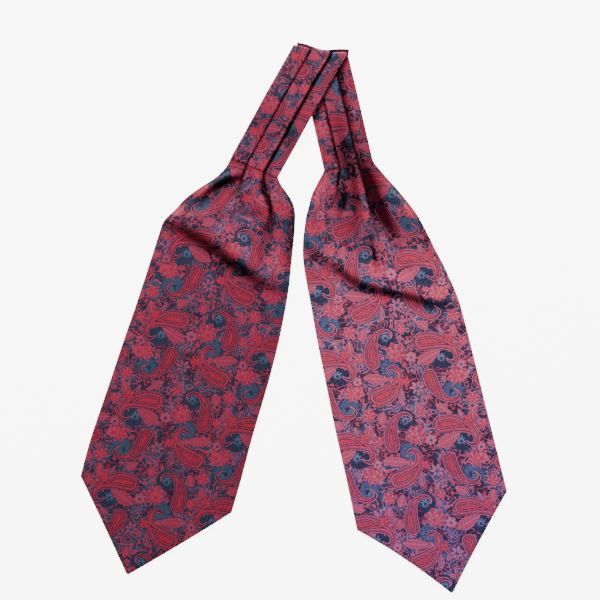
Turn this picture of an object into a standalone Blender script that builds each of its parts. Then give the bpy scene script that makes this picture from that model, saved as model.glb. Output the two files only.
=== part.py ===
"""A self-lined silk cravat laid flat: a pleated neckband folded over once, and two wide pointed blades.

Lengths are millimetres until MM turns them into Blender's metres. The cravat rests on z = 0 and
+Y runs from the blades' points up to the fold of the neckband. Each half has its own two
coordinates on the table: "down" runs along it from the neck, where the band meets the blade, and
"across" runs to the right of its middle line.
"""

import math
from collections import namedtuple

import bpy
import numpy as np

MM = 0.001

# The cloth
WALL = 1.0
LAYER = 1.5
SEAM_GAP = 0.3
STACK_GAP = 1.0
BEND_RADIUS = LAYER / 2
BEND_LENGTH = math.pi * BEND_RADIUS
LOW_LAYER = WALL / 2
STRIP_LAYER = LOW_LAYER + LAYER
BAND_HEIGHT = WALL + 3 * LAYER

# The neckband, and the fold where its left half turns over onto its right half
TUCK = 6.0
BACK_SLIT = 1.5
LEFT_LIFT = BAND_HEIGHT + STACK_GAP
CREASE = ((1.9, 270.2), (55.6, 262.9))
CREASE_MIDDLE = (28.8, 266.6)
CREASE_DIP = 3.8
CREASE_DIP_WIDTH = 13.0
DIP_RAMP = 34.0
LIFT_START = 27.0
LIFT_END = 72.0
SKEW_RAMP = 55.0
NECK_RAMP = 26.0

# Rows of the lofts
BAND_ROWS = 9
NOSE_ROWS = 4
BLADE_ROWS = 21
FIRST_ROW = 3.2
ROW_GROWTH = 1.11
HEM_ROWS = 5
BACK_COLUMNS = 5

# Points across the cloth in each stretch of a section
LIP_POINTS = 3
BEND_POINTS = 3
TUCK_POINTS = 2
STRIP_POINTS = 7
MIDDLE_POINTS = 6

Half = namedtuple("Half", "neck band_turn blade_turn band_left band_right")
LEFT = Half(neck=(-36.5, 145.8), band_turn=28.0, blade_turn=17.7, band_left=27.9, band_right=22.0)
RIGHT = Half(neck=(53.8, 149.2), band_turn=-11.3, blade_turn=-13.6, band_left=24.4, band_right=24.4)

# The middle strip of the pleated band: its two fold edges, as places across the band
Pleat = namedtuple("Pleat", "left right")
LEFT_PLEAT = Pleat(left=-10.3, right=7.4)
RIGHT_PLEAT = Pleat(left=-8.8, right=8.8)

# Half widths of each blade
Width = namedtuple("Width", "down left right")
LEFT_WIDTHS = [
    Width(0, 27.6, 22.8),
    Width(5, 28.4, 27.8),
    Width(10, 29.8, 34.2),
    Width(20, 35.9, 43.8),
    Width(30, 44.2, 49.4),
    Width(40, 52.2, 52.4),
    Width(50, 58.8, 54.9),
    Width(60, 63.2, 57.0),
    Width(80, 72.0, 61.2),
    Width(100, 72.0, 65.4),
    Width(120, 72.0, 68.4),
    Width(160, 72.3, 72.7),
    Width(200, 73.3, 74.8),
    Width(250, 74.0, 76.0),
    Width(300, 74.9, 78.4),
    Width(345, 72.8, 79.4),
]
RIGHT_WIDTHS = [
    Width(0, 25.0, 24.4),
    Width(5, 29.4, 26.2),
    Width(10, 34.0, 28.8),
    Width(20, 42.3, 33.6),
    Width(30, 47.8, 39.2),
    Width(40, 53.0, 44.2),
    Width(50, 56.8, 49.0),
    Width(60, 60.6, 53.3),
    Width(80, 65.3, 59.0),
    Width(100, 67.1, 63.6),
    Width(120, 68.0, 68.5),
    Width(160, 70.4, 74.6),
    Width(200, 71.9, 75.3),
    Width(250, 73.8, 75.5),
    Width(300, 74.6, 75.8),
    Width(350, 76.2, 76.2),
]

# The pointed hem: how far down its point and its two corners lie, and how hollow its two edges are
Hem = namedtuple("Hem", "point left right hollow_left hollow_right")
LEFT_HEM = Hem(point=417.4, left=338.7, right=327.3, hollow_left=0.5, hollow_right=-1.0)
RIGHT_HEM = Hem(point=431.5, left=348.6, right=346.0, hollow_left=4.0, hollow_right=1.5)

# How each pleat opens below the neck. A turn of 180 degrees is the closed pleat of the band, and
# 0 is flat cloth. The lip is the cloth that turns under at the side.
Opening = namedtuple("Opening", "down fold turn tuck lip")
LEFT_LEFT_PLEAT = [
    Opening(0, -10.3, 180, 6.0, 22.5),
    Opening(4, -10.1, 180, 6.0, 22.3),
    Opening(11, -10.2, 150, 6.2, 21.6),
    Opening(19, -10.4, 112, 6.5, 20.4),
    Opening(30, -10.6, 70, 6.5, 18.0),
    Opening(45, -11.5, 34, 6.5, 13.0),
    Opening(64, -13.0, 14, 6.0, 6.0),
    Opening(80, -14.5, 6, 5.5, 3.0),
    Opening(120, -19.0, 0, 5.0, 3.0),
    Opening(250, -21.0, 0, 5.0, 3.0),
]
LEFT_RIGHT_PLEAT = [
    Opening(0, 7.4, 180, 6.0, 22.5),
    Opening(4, 8.4, 180, 6.4, 21.8),
    Opening(10, 10.6, 180, 7.2, 20.4),
    Opening(18, 14.8, 172, 8.0, 16.4),
    Opening(26, 20.6, 150, 8.0, 10.5),
    Opening(34, 24.6, 112, 8.0, 5.5),
    Opening(43, 26.4, 76, 7.5, 3.0),
    Opening(58, 27.4, 36, 7.0, 3.0),
    Opening(80, 26.0, 12, 6.0, 3.0),
    Opening(120, 24.0, 0, 5.0, 3.0),
    Opening(250, 22.0, 0, 5.0, 3.0),
]
RIGHT_LEFT_PLEAT = [
    Opening(0, -8.8, 180, 6.0, 22.1),
    Opening(4, -10.0, 180, 6.0, 21.8),
    Opening(11, -12.6, 154, 6.3, 20.4),
    Opening(20, -15.8, 112, 6.5, 18.0),
    Opening(32, -18.4, 68, 6.5, 13.8),
    Opening(48, -21.0, 36, 6.5, 8.5),
    Opening(68, -23.0, 15, 6.0, 4.5),
    Opening(88, -24.0, 6, 5.5, 3.0),
    Opening(130, -24.0, 0, 5.0, 3.0),
    Opening(250, -22.0, 0, 5.0, 3.0),
]
RIGHT_RIGHT_PLEAT = [
    Opening(0, 8.8, 180, 6.0, 22.1),
    Opening(4, 9.2, 180, 6.0, 21.8),
    Opening(12, 9.6, 154, 6.3, 20.2),
    Opening(26, 9.9, 118, 6.5, 15.8),
    Opening(44, 9.4, 90, 6.5, 10.0),
    Opening(64, 8.6, 60, 6.5, 4.5),
    Opening(80, 8.0, 38, 6.0, 3.0),
    Opening(102, 8.0, 16, 5.5, 3.0),
    Opening(140, 12.0, 0, 5.0, 3.0),
    Opening(250, 22.0, 0, 5.0, 3.0),
]

# How high each blade's front stands above the flat cloth along its middle
Loft = namedtuple("Loft", "down height")
LEFT_LOFT = [
    Loft(0, 0.0),
    Loft(25, 1.2),
    Loft(60, 4.2),
    Loft(95, 4.6),
    Loft(135, 3.0),
    Loft(220, 1.6),
    Loft(420, 0.0),
]
RIGHT_LOFT = [
    Loft(0, 0.0),
    Loft(25, 1.2),
    Loft(70, 4.0),
    Loft(120, 5.0),
    Loft(165, 3.2),
    Loft(250, 1.8),
    Loft(432, 0.0),
]
EDGE_FADE = 9.0
NECK_FADE = 12.0
SIDE_DROP = 0.55

# Soft folds: the line each one follows, from (across, down) to (across, down), its height or
# depth at the middle of the line, and its half width. Each one fades towards its two ends.
FOLD_ENDS = 0.06
FOLD_TAPER = 0.7
Fold = namedtuple("Fold", "line rise width")
LEFT_FOLDS = [
    Fold([(-66, 80), (-42, 82), (-18, 86), (4, 96), (24, 105), (47, 116)], -4.2, 8.0),
    Fold([(-58, 60), (-34, 64), (-8, 70), (16, 80), (40, 96)], 3.2, 11.0),
    Fold([(-13, 13), (-31, 30), (-46, 43)], -2.0, 5.0),
    Fold([(-14, 4), (-30, 18), (-44, 30)], 2.6, 6.0),
    Fold([(28, 12), (40, 28), (46, 44)], 3.4, 7.0),
    Fold([(-4, 6), (-2, 24), (4, 44)], 3.4, 7.0),
    Fold([(34, 56), (48, 78), (56, 104)], -2.4, 8.0),
    Fold([(-30, 112), (-6, 138), (30, 158)], 1.8, 14.0),
]
RIGHT_FOLDS = [
    Fold([(-60, 86), (-36, 98), (-20, 114), (-4, 130), (26, 140), (48, 153), (68, 163)], -4.4, 8.0),
    Fold([(-54, 64), (-30, 84), (-10, 108), (14, 122), (44, 134)], 4.0, 11.0),
    Fold([(-24, 8), (-36, 24), (-46, 44)], 3.0, 7.0),
    Fold([(-2, 8), (2, 34), (2, 66), (0, 98)], 3.2, 7.0),
    Fold([(13, 22), (18, 48), (21, 76)], -1.6, 6.0),
    Fold([(24, 14), (38, 44), (46, 78)], 3.0, 9.0),
    Fold([(30, 92), (46, 112), (60, 132)], 2.0, 9.0),
    Fold([(-30, 150), (0, 176), (40, 196)], 1.6, 16.0),
]

CRIMSON = (0.45, 0.02, 0.05, 1.0)
NAVY = (0.03, 0.05, 0.11, 1.0)


def ease(value):
    """A smooth step from 0 to 1."""
    value = np.clip(value, 0.0, 1.0)
    return value * value * (3.0 - 2.0 * value)


def read(table, column, down):
    """One column of a table, read between its rows at a distance down the cloth."""
    return float(np.interp(down, [row.down for row in table], [getattr(row, column) for row in table]))


def side_of(across):
    return "left" if across < 0 else "right"


def heading(turn):
    """The way down and the way across on the table for a half that leans `turn` degrees to the left."""
    lean = math.radians(turn)
    return np.array([-math.sin(lean), -math.cos(lean)]), np.array([math.cos(lean), -math.sin(lean)])


Side = namedtuple("Side", "reach fold turn tuck lip")


def turned_edge(reach, lip):
    """The points of an edge that turns under, from the end of its lip up to the layer above."""
    bend = -reach + WALL / 2 + BEND_RADIUS
    points = [(bend + lip * share, LOW_LAYER) for share in np.linspace(1.0, 0.0, LIP_POINTS + 1)[:-1]]
    for turn in np.linspace(math.pi, 0.0, BEND_POINTS + 1):
        rise = BEND_RADIUS * (1.0 + math.cos(turn))
        points.append((bend - BEND_RADIUS * math.sin(turn), LOW_LAYER + rise))
    return points


def pleat(fold, turn, tuck, bottom):
    """The points of a pleat that doubles back by `turn` degrees and carries the middle strip."""
    angle = math.radians(max(turn, 0.5))
    radius = BEND_LENGTH / angle
    sideways = 2.0 * radius * math.sin(angle) + tuck * math.cos(angle)
    top_end = fold + (radius + WALL / 2) * math.sin(min(angle, math.pi / 2))
    start = top_end - sideways
    points = []
    for step in np.linspace(0.0, angle, BEND_POINTS + 1):
        points.append((start + radius * math.sin(step), bottom + radius * (1.0 - math.cos(step))))
    across, height = points[-1]
    for share in np.linspace(0.0, 1.0, TUCK_POINTS + 1)[1:]:
        points.append((across + tuck * share * math.cos(angle), height + tuck * share * math.sin(angle)))
    across, height = points[-1]
    for step in np.linspace(angle, 0.0, BEND_POINTS + 1)[1:]:
        run = radius * (math.sin(angle) - math.sin(step))
        rise = radius * (math.cos(step) - math.cos(angle))
        points.append((across + run, height + rise))
    return points


def between(first, last, count):
    """The points inside a soft run of cloth from one point to another."""
    inner = np.linspace(0.0, 1.0, count + 1)[1:-1]
    return [
        (first[0] + (last[0] - first[0]) * share, first[1] + (last[1] - first[1]) * float(ease(share)))
        for share in inner
    ]


def mirrored(points):
    return [(-across, height) for across, height in reversed(points)]


def section(left, right):
    """One section across the cloth, from the left lip over the pleats to the right lip."""
    left_edge = turned_edge(left.reach, left.lip)
    right_edge = mirrored(turned_edge(right.reach, right.lip))
    left_pleat = pleat(left.fold, left.turn, left.tuck, STRIP_LAYER)
    right_pleat = mirrored(pleat(-right.fold, right.turn, right.tuck, STRIP_LAYER))
    points = left_edge + between(left_edge[-1], left_pleat[0], STRIP_POINTS)
    points += left_pleat + between(left_pleat[-1], right_pleat[0], MIDDLE_POINTS) + right_pleat
    points += between(right_pleat[-1], right_edge[0], STRIP_POINTS) + right_edge
    return np.array(points)


def neck_slope(half):
    """How much a row at the neck slopes against the band, halfway between the band and the blade."""
    return math.tan(math.radians(half.blade_turn - half.band_turn) / 2)


def blade_point(half, across, down):
    """A place on the table, from its coordinates on a blade."""
    forward, sideways = heading(half.blade_turn)
    slope = -neck_slope(half) * (1.0 - float(ease(down / NECK_RAMP)))
    return np.array(half.neck) + forward * (down + slope * across) + sideways * across


def fold_height(folds, across, down):
    """The height that the soft folds add at one place on a blade."""
    total = 0.0
    here = np.array([across, down])
    for fold in folds:
        line = np.array(fold.line, float)
        steps = len(line) - 1
        nearest, share = 1e9, 0.0
        for index in range(steps):
            run = line[index + 1] - line[index]
            along = float(np.clip((here - line[index]) @ run / (run @ run), 0.0, 1.0))
            distance = float(np.linalg.norm(here - line[index] - run * along))
            if distance < nearest:
                nearest, share = distance, (index + along) / steps
        taper = math.sin(math.pi * min(max(share, FOLD_ENDS), 1.0 - FOLD_ENDS)) ** FOLD_TAPER
        total += fold.rise * taper * math.exp(-((nearest / fold.width) ** 2))
    return total


def loft_height(table, folds, widths, across, down):
    """How far a blade's front stands above the flat cloth, which is nothing at its edges."""
    middle = read(table, "height", down)
    reach = read(widths, side_of(across), down)
    inside = float(ease((reach - abs(across)) / EDGE_FADE))
    rounded = 1.0 - SIDE_DROP * (abs(across) / reach) ** 2
    start = float(ease(down / NECK_FADE))
    raised = middle * rounded + fold_height(folds, across, down) * start
    return max(raised, 0.0) * inside


def hem_down(hem, share):
    """How far down the hem lies at a share of the half width, from -1 on the left to 1 on the right."""
    corner = hem.left if share < 0 else hem.right
    hollow = hem.hollow_left if share < 0 else hem.hollow_right
    share = min(abs(share), 1.0)
    return hem.point + (corner - hem.point) * share - 4.0 * hollow * share * (1.0 - share)


def blade_rows():
    """Distances down a blade, close together at the neck and wide apart near the hem."""
    rows = [SEAM_GAP / 2]
    step = FIRST_ROW
    for _ in range(BLADE_ROWS):
        rows.append(rows[-1] + step)
        step *= ROW_GROWTH
    return rows


def cloth(name, grid, colour, collection):
    """A wall of cloth from a grid of points: a primitive grid moved onto them, with Solidify."""
    rows, columns = grid.shape[:2]
    bpy.ops.mesh.primitive_grid_add(x_subdivisions=columns - 1, y_subdivisions=rows - 1)
    wall = bpy.context.object
    wall.name = name
    wall.data.name = name
    wall.data.vertices.foreach_set("co", (grid * MM).ravel())
    for face in wall.data.polygons:
        face.use_smooth = True
    solid = wall.modifiers.new("Cloth", "SOLIDIFY")
    solid.thickness = WALL * MM
    solid.offset = 0.0
    solid.use_even_offset = True
    material = bpy.data.materials.new(name)
    material.use_nodes = True
    shader = material.node_tree.nodes["Principled BSDF"]
    shader.inputs["Base Color"].default_value = colour
    shader.inputs["Roughness"].default_value = 0.45
    shader.inputs["Metallic"].default_value = 0.0
    wall.data.materials.append(material)
    for owner in list(wall.users_collection):
        owner.objects.unlink(wall)
    collection.objects.link(wall)
    return wall


def toward_hem(widths, hem, across, down, share_down):
    """Moves a place on the last straight row down by a share of its way to the pointed hem."""
    share = across / read(widths, side_of(across), down)
    place = down + (hem_down(hem, share) - down) * share_down
    return share * read(widths, side_of(share), place), place


def blade_stations():
    """Each row as its distance down and its share of the way from the last straight row to the hem."""
    rows = blade_rows()
    hem_shares = np.linspace(0.0, 1.0, HEM_ROWS + 1)[1:]
    return [(down, 0.0) for down in rows] + [(rows[-1], share) for share in hem_shares]


def blade_front(half, widths, hem, pleats, table, folds):
    """The front of a blade: sections down to the straight part, then rows that bend into the hem."""
    points = []
    for down, share_down in blade_stations():
        sides = []
        for column, openings in zip(("left", "right"), pleats):
            fold, turn, tuck, lip = (read(openings, key, down) for key in ("fold", "turn", "tuck", "lip"))
            sides.append(Side(read(widths, column, down), fold, turn, tuck, lip))
        row = []
        for across, height in section(*sides):
            across, place = toward_hem(widths, hem, across, down, share_down)
            above = float(ease((height - LOW_LAYER) / LAYER))
            height += above * loft_height(table, folds, widths, across, place)
            row.append((*blade_point(half, across, place), height))
        points.append(row)
    return np.array(points)


def blade_back(half, widths, hem, pleats):
    """The back of a blade: flat cloth that fills the space between the lips of the front."""
    points = []
    for down, share_down in blade_stations():
        if down < 2 * FIRST_ROW:
            continue
        ends = []
        for column, openings in zip(("left", "right"), pleats):
            turned_in = WALL / 2 + BEND_RADIUS + read(openings, "lip", down) + SEAM_GAP
            ends.append(read(widths, column, down) - turned_in)
        row = []
        for across in np.linspace(-ends[0], ends[1], BACK_COLUMNS):
            across, place = toward_hem(widths, hem, across, down, share_down)
            row.append((*blade_point(half, across, place), LOW_LAYER))
        points.append(row)
    return np.array(points)


def crease_frame():
    """The direction of the fold of the band, and the way outwards from it."""
    start, end = np.array(CREASE[0]), np.array(CREASE[1])
    along = (end - start) / np.linalg.norm(end - start)
    return along, np.array([-along[1], along[0]])


def band(half, middle, on_top):
    """Half of the neckband: one pleated section swept from the neck to the fold, where it turns over."""
    forward, sideways = heading(half.band_turn)
    along_crease, outward = crease_frame()
    crease_slope = float(along_crease @ forward) / float(along_crease @ sideways)
    axis_height = BAND_HEIGHT + STACK_GAP / 2 + (SEAM_GAP / 2 if on_top else -SEAM_GAP / 2)
    nose = BAND_HEIGHT + STACK_GAP / 2
    start = np.array(CREASE_MIDDLE) - outward * nose
    length = float((np.array(half.neck) - start) @ forward)
    drift = float((np.array(half.neck) - start) @ sideways)
    lip = (half.band_left + half.band_right - BACK_SLIT) / 2 - WALL / 2 - BEND_RADIUS
    line = section(
        Side(half.band_left, middle.left, 180.0, TUCK, lip),
        Side(half.band_right, middle.right, 180.0, TUCK, lip),
    )
    stations = [(up, 0.0) for up in np.linspace(SEAM_GAP / 2, length, BAND_ROWS + 1)]
    stations += [(length, 90.0 * step / NOSE_ROWS) for step in range(1, NOSE_ROWS + 1)]
    points = []
    for up, turn in stations:
        lift = LEFT_LIFT * float(ease((up - LIFT_START) / (LIFT_END - LIFT_START))) if on_top else 0.0
        near_crease = float(ease((up - length + SKEW_RAMP) / SKEW_RAMP))
        near_neck = 1.0 - float(ease(up / NECK_RAMP))
        slope = crease_slope * near_crease + neck_slope(half) * near_neck
        dip = CREASE_DIP * float(ease((up - length + DIP_RAMP) / DIP_RAMP))
        row = []
        for across, height in line:
            centre = start + forward * (length - up) + sideways * drift * (1.0 - up / length)
            place = centre + sideways * across + forward * slope * across
            place = place - outward * dip * math.exp(-((across / CREASE_DIP_WIDTH) ** 2))
            radius = height + lift - axis_height
            place = place + outward * abs(radius) * math.sin(math.radians(turn))
            row.append((*place, axis_height + radius * math.cos(math.radians(turn))))
        points.append(row)
    return np.array(points)


def clear_scene():
    for thing in list(bpy.data.objects):
        bpy.data.objects.remove(thing, do_unlink=True)


def main():
    clear_scene()
    cravat = bpy.data.collections.new("silk_cravat")
    bpy.context.scene.collection.children.link(cravat)
    halves = (
        ("left", LEFT, LEFT_PLEAT, LEFT_WIDTHS, LEFT_HEM, (LEFT_LEFT_PLEAT, LEFT_RIGHT_PLEAT),
         LEFT_LOFT, LEFT_FOLDS),
        ("right", RIGHT, RIGHT_PLEAT, RIGHT_WIDTHS, RIGHT_HEM, (RIGHT_LEFT_PLEAT, RIGHT_RIGHT_PLEAT),
         RIGHT_LOFT, RIGHT_FOLDS),
    )
    for side, half, middle, widths, hem, pleats, table, folds in halves:
        cloth(f"{side}_band", band(half, middle, side == "left"), CRIMSON, cravat)
        front = blade_front(half, widths, hem, pleats, table, folds)
        cloth(f"{side}_blade_front", front, CRIMSON, cravat)
        back = blade_back(half, widths, hem, pleats)
        cloth(f"{side}_blade_back", back, NAVY, cravat)


main()
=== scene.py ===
# %% [markdown]
# # A silk cravat, laid flat
# A cravat of this kind is one long strip of self-lined silk. Its middle is pleated into a narrow
# neckband and its two ends spread into wide, pointed blades. Here it lies on a table, folded once
# over its neckband. We load the solid model first, move each solid's placement into its mesh, and
# clear the selection, because an operator acts on everything that is selected.

import math

import bpy
import numpy as np
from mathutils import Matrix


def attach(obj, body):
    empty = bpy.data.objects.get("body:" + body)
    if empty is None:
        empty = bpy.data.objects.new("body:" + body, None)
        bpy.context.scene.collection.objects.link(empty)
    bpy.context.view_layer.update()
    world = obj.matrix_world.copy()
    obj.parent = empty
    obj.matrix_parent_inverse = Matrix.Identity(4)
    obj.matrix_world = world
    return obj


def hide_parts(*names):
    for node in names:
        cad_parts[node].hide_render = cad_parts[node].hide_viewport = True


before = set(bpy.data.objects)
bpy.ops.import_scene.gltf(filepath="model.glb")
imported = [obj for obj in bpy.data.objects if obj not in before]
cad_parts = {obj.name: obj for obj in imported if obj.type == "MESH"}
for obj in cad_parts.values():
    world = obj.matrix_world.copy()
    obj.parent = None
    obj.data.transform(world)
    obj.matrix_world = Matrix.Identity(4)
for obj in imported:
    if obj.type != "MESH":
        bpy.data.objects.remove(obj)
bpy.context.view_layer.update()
bpy.ops.object.select_all(action="DESELECT")
MM = 0.001

# %% [markdown]
# ## Reading a shape from a few stations
# Cloth has no hard numbers between the places we measure, so each table below holds a few stations
# down the cloth, and a smooth curve runs through them. A straight line between stations would show
# as a kink in the satin. This spline never overshoots a station, which keeps a closed pleat closed.

# %% Smooth steps and smooth tables
def ease(value):
    value = np.clip(value, 0.0, 1.0)
    return value * value * (3.0 - 2.0 * value)


def through(stations, places):
    """Each column of a table of stations, read at places down the cloth."""
    table = np.array(stations, float)
    at, values = table[:, 0], table[:, 1:]
    steps = np.diff(at)
    slopes = np.diff(values, axis=0) / steps[:, None]
    before, after = slopes[:-1], slopes[1:]
    weight_a, weight_b = (2 * steps[1:] + steps[:-1])[:, None], (steps[1:] + 2 * steps[:-1])[:, None]
    same_way = before * after > 0
    safe_before, safe_after = np.where(same_way, before, 1.0), np.where(same_way, after, 1.0)
    inner = (weight_a + weight_b) / (weight_a / safe_before + weight_b / safe_after)
    tangents = np.vstack([slopes[:1], np.where(same_way, inner, 0.0), slopes[-1:]])
    places = np.clip(np.atleast_1d(np.asarray(places, float)), at[0], at[-1])
    index = np.clip(np.searchsorted(at, places, side="right") - 1, 0, len(steps) - 1)
    step = steps[index][:, None]
    share = ((places - at[index]) / steps[index])[:, None]
    start, end = values[index], values[index + 1]
    rise_start, rise_end = tangents[index] * step, tangents[index + 1] * step
    square, cube = share**2, share**3
    blend = (2 * cube - 3 * square + 1) * start + (cube - 2 * square + share) * rise_start
    return blend + (3 * square - 2 * cube) * end + (cube - square) * rise_end


print("between 1 and 3:", through([(0, 1.0), (10, 3.0), (20, 3.0)], [5.0])[0])

# %% [markdown]
# ## Where each half lies
# Both halves are drawn from their neck, the place where the pleated band meets the blade. "Down"
# runs from there to the point, "up" runs along the band to the fold, and "across" runs to the right.
# All lengths are millimetres, and the cravat rests on z = 0.

# %% Places on the table
WALL = 0.8
# layers of folded cloth: the step from one to the next, and the height of the lowest and of the strip
LAYER = 1.5
LOW_LAYER = 0.5
STRIP_LAYER = LOW_LAYER + LAYER
BEND_RADIUS = LAYER / 2
BEND_LENGTH = math.pi * BEND_RADIUS
TUCK = 6.0
# the pleated band: its height, the slit at its back, and how far a turned edge keeps inside the outline
BAND_HEIGHT = 5.5
BACK_SLIT = 1.5
EDGE_INSET = 0.5
# where the left half lies over the right: the gap between them, and where the left one has climbed up
STACK_GAP = 1.0
LEFT_LIFT = BAND_HEIGHT + STACK_GAP
LIFT_START, LIFT_END = 27.0, 72.0
# the fold across the neckband, which dips in its middle
CREASE = np.array([(1.9, 270.2), (55.6, 262.9)])
CREASE_MIDDLE = np.array([28.8, 266.6])
CREASE_DIP, CREASE_DIP_WIDTH, DIP_RAMP = 3.8, 13.0, 34.0
# how far from the fold and from the neck the rows have turned square to the cloth
SKEW_RAMP, NECK_RAMP = 55.0, 26.0

LEFT = dict(
    side="left", neck=(-36.5, 145.8), band_turn=28.0, blade_turn=17.7, band=(27.9, 22.0),
    folds=(-10.3, 7.4), hem=(417.4, 338.7, 327.3, 0.5, -1.0),
)
RIGHT = dict(
    side="right", neck=(53.8, 149.2), band_turn=-11.3, blade_turn=-13.6, band=(24.4, 24.4),
    folds=(-8.8, 8.8), hem=(431.5, 348.6, 346.0, 4.0, 1.5),
)

# half widths of each blade: down, left, right
LEFT["widths"] = [
    (0, 27.6, 22.8), (5, 28.4, 27.8), (10, 29.8, 34.2), (20, 35.9, 43.8), (30, 44.2, 49.4),
    (40, 52.2, 52.4), (50, 58.8, 54.9), (60, 63.2, 57.0), (80, 72.0, 61.2), (100, 72.0, 65.4),
    (120, 72.0, 68.4), (160, 72.3, 72.7), (200, 73.3, 74.8), (250, 74.0, 76.0), (300, 74.9, 78.4),
    (345, 72.8, 79.4),
]
RIGHT["widths"] = [
    (0, 25.0, 24.4), (5, 29.4, 26.2), (10, 34.0, 28.8), (20, 42.3, 33.6), (30, 47.8, 39.2),
    (40, 53.0, 44.2), (50, 56.8, 49.0), (60, 60.6, 53.3), (80, 65.3, 59.0), (100, 67.1, 63.6),
    (120, 68.0, 68.5), (160, 70.4, 74.6), (200, 71.9, 75.3), (250, 73.8, 75.5), (300, 74.6, 75.8),
    (350, 76.2, 76.2),
]

# how each pleat opens: down, place of its fold, turn in degrees, depth of the tuck, lip turned under
LEFT["left_pleat"] = [
    (0, -10.3, 180, 6.0, 22.5), (4, -10.1, 180, 6.0, 22.3), (11, -10.2, 150, 6.2, 21.6),
    (19, -10.4, 112, 6.5, 20.4), (30, -10.6, 70, 6.5, 18.0), (45, -11.5, 34, 6.5, 13.0),
    (64, -13.0, 14, 6.0, 6.0), (80, -14.5, 6, 5.5, 3.0), (120, -19.0, 0, 5.0, 3.0),
    (250, -21.0, 0, 5.0, 3.0),
]
LEFT["right_pleat"] = [
    (0, 7.4, 180, 6.0, 22.5), (4, 8.4, 180, 6.4, 21.8), (10, 10.6, 180, 7.2, 20.4),
    (18, 14.8, 172, 8.0, 16.4), (26, 20.6, 150, 8.0, 10.5), (34, 24.6, 112, 8.0, 5.5),
    (43, 26.4, 76, 7.5, 3.0), (58, 27.4, 36, 7.0, 3.0), (80, 26.0, 12, 6.0, 3.0),
    (120, 24.0, 0, 5.0, 3.0), (250, 22.0, 0, 5.0, 3.0),
]
RIGHT["left_pleat"] = [
    (0, -8.8, 180, 6.0, 22.1), (4, -10.0, 180, 6.0, 21.8), (11, -12.6, 154, 6.3, 20.4),
    (20, -15.8, 112, 6.5, 18.0), (32, -18.4, 68, 6.5, 13.8), (48, -21.0, 36, 6.5, 8.5),
    (68, -23.0, 15, 6.0, 4.5), (88, -24.0, 6, 5.5, 3.0), (130, -24.0, 0, 5.0, 3.0),
    (250, -22.0, 0, 5.0, 3.0),
]
RIGHT["right_pleat"] = [
    (0, 8.8, 180, 6.0, 22.1), (4, 9.2, 180, 6.0, 21.8), (12, 9.6, 154, 6.3, 20.2),
    (26, 9.9, 118, 6.5, 15.8), (44, 9.4, 90, 6.5, 10.0), (64, 8.6, 60, 6.5, 4.5),
    (80, 8.0, 38, 6.0, 3.0), (102, 8.0, 16, 5.5, 3.0), (140, 12.0, 0, 5.0, 3.0), (250, 22.0, 0, 5.0, 3.0),
]

# how high the cloth stands along the middle of each blade: down, height
LEFT["loft"] = [(0, 0.0), (25, 1.2), (60, 2.6), (95, 2.6), (135, 2.2), (220, 1.6), (420, 0.0)]
RIGHT["loft"] = [(0, 0.0), (25, 1.2), (70, 2.6), (120, 2.8), (165, 2.4), (250, 1.8), (432, 0.0)]
print("halves:", LEFT["side"], "and", RIGHT["side"])

# %% [markdown]
# ## Soft folds
# Satin shows every fold as a bright band beside a dark one, so the folds matter as much as the
# pattern. Two kinds are laid on the blades. A ridge or trough is a soft swell along a line. A ledge
# is cloth that has slumped over itself: it rises gently and then drops within a few millimetres.
# Each one follows its own line and fades towards both ends, and no two are alike. Cloth simulation
# would fold the blade too, but not along these lines, so the folds are listed one by one.
#
# Creases and crests also get painted light in the silk's colour. A pressed crease gets painted shade,
# darker than its slope alone, for the shade that two layers of silk cast on each other in a gap finer
# than the mesh, and a crest gets a painted highlight, brighter than its slope alone, for the gleam of
# satin's threads that turn with it. So each place also gets one number: 1 for full painted shade deep
# in a crease, 0 on plain cloth, -1 for a full painted highlight on a crest. It comes from the lines in
# "shades" and "gleams", from the foot of each ledge and from the hand-stitched seam at the neck. It
# is kept with the mesh as an attribute, and the silk reads it.

# %% The folds of each blade
# ridges and troughs: line of (across, down), rise, half width
LEFT["swells"] = [
    ([(-58, 60), (-34, 64), (-8, 70), (16, 80), (40, 96)], 1.6, 11.0),
    ([(-2, 8), (2, 18), (7, 28)], 2.0, 6.0),
    ([(28, 12), (40, 28), (46, 44)], 3.4, 7.0),
    ([(-3, 47), (9, 47), (22, 39)], -2.0, 4.5),
    ([(11, 54), (23, 69), (35, 86)], 2.2, 8.0),
    ([(34, 56), (48, 78), (56, 104)], -2.4, 7.0),
    ([(-50, 66), (-30, 56), (-12, 40)], 1.4, 7.0),
    ([(-30, 112), (-6, 138), (30, 158)], 1.4, 16.0),
    ([(-52, 150), (-20, 190), (30, 214)], 0.9, 18.0),
    ([(-30, 262), (10, 288), (52, 300)], 0.7, 20.0),
]
RIGHT["swells"] = [
    ([(-54, 64), (-30, 84), (-10, 100), (14, 112), (44, 124)], 1.6, 12.0),
    ([(-24, 8), (-36, 24), (-46, 44)], 3.0, 7.0),
    ([(0, 30), (2, 48), (2, 70), (0, 98)], 1.6, 8.0),
    ([(13, 6), (15, 30), (17, 50), (21, 70), (28, 88)], -3.4, 7.5),
    ([(4.5, 66), (5.3, 80), (3.8, 100), (3, 116)], -2.4, 4.0),
    ([(-9, 24), (-12, 38), (-21, 48)], -1.8, 4.0),
    ([(29, 14), (39, 44), (48, 78)], 4.4, 9.0),
    ([(30, 92), (46, 112), (60, 132)], 2.0, 9.0),
    ([(-52, 56), (-40, 76), (-22, 92)], -1.6, 7.0),
    ([(-30, 150), (0, 176), (40, 196)], 1.2, 16.0),
    ([(-50, 232), (-10, 250), (36, 282)], 0.8, 20.0),
]
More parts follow.
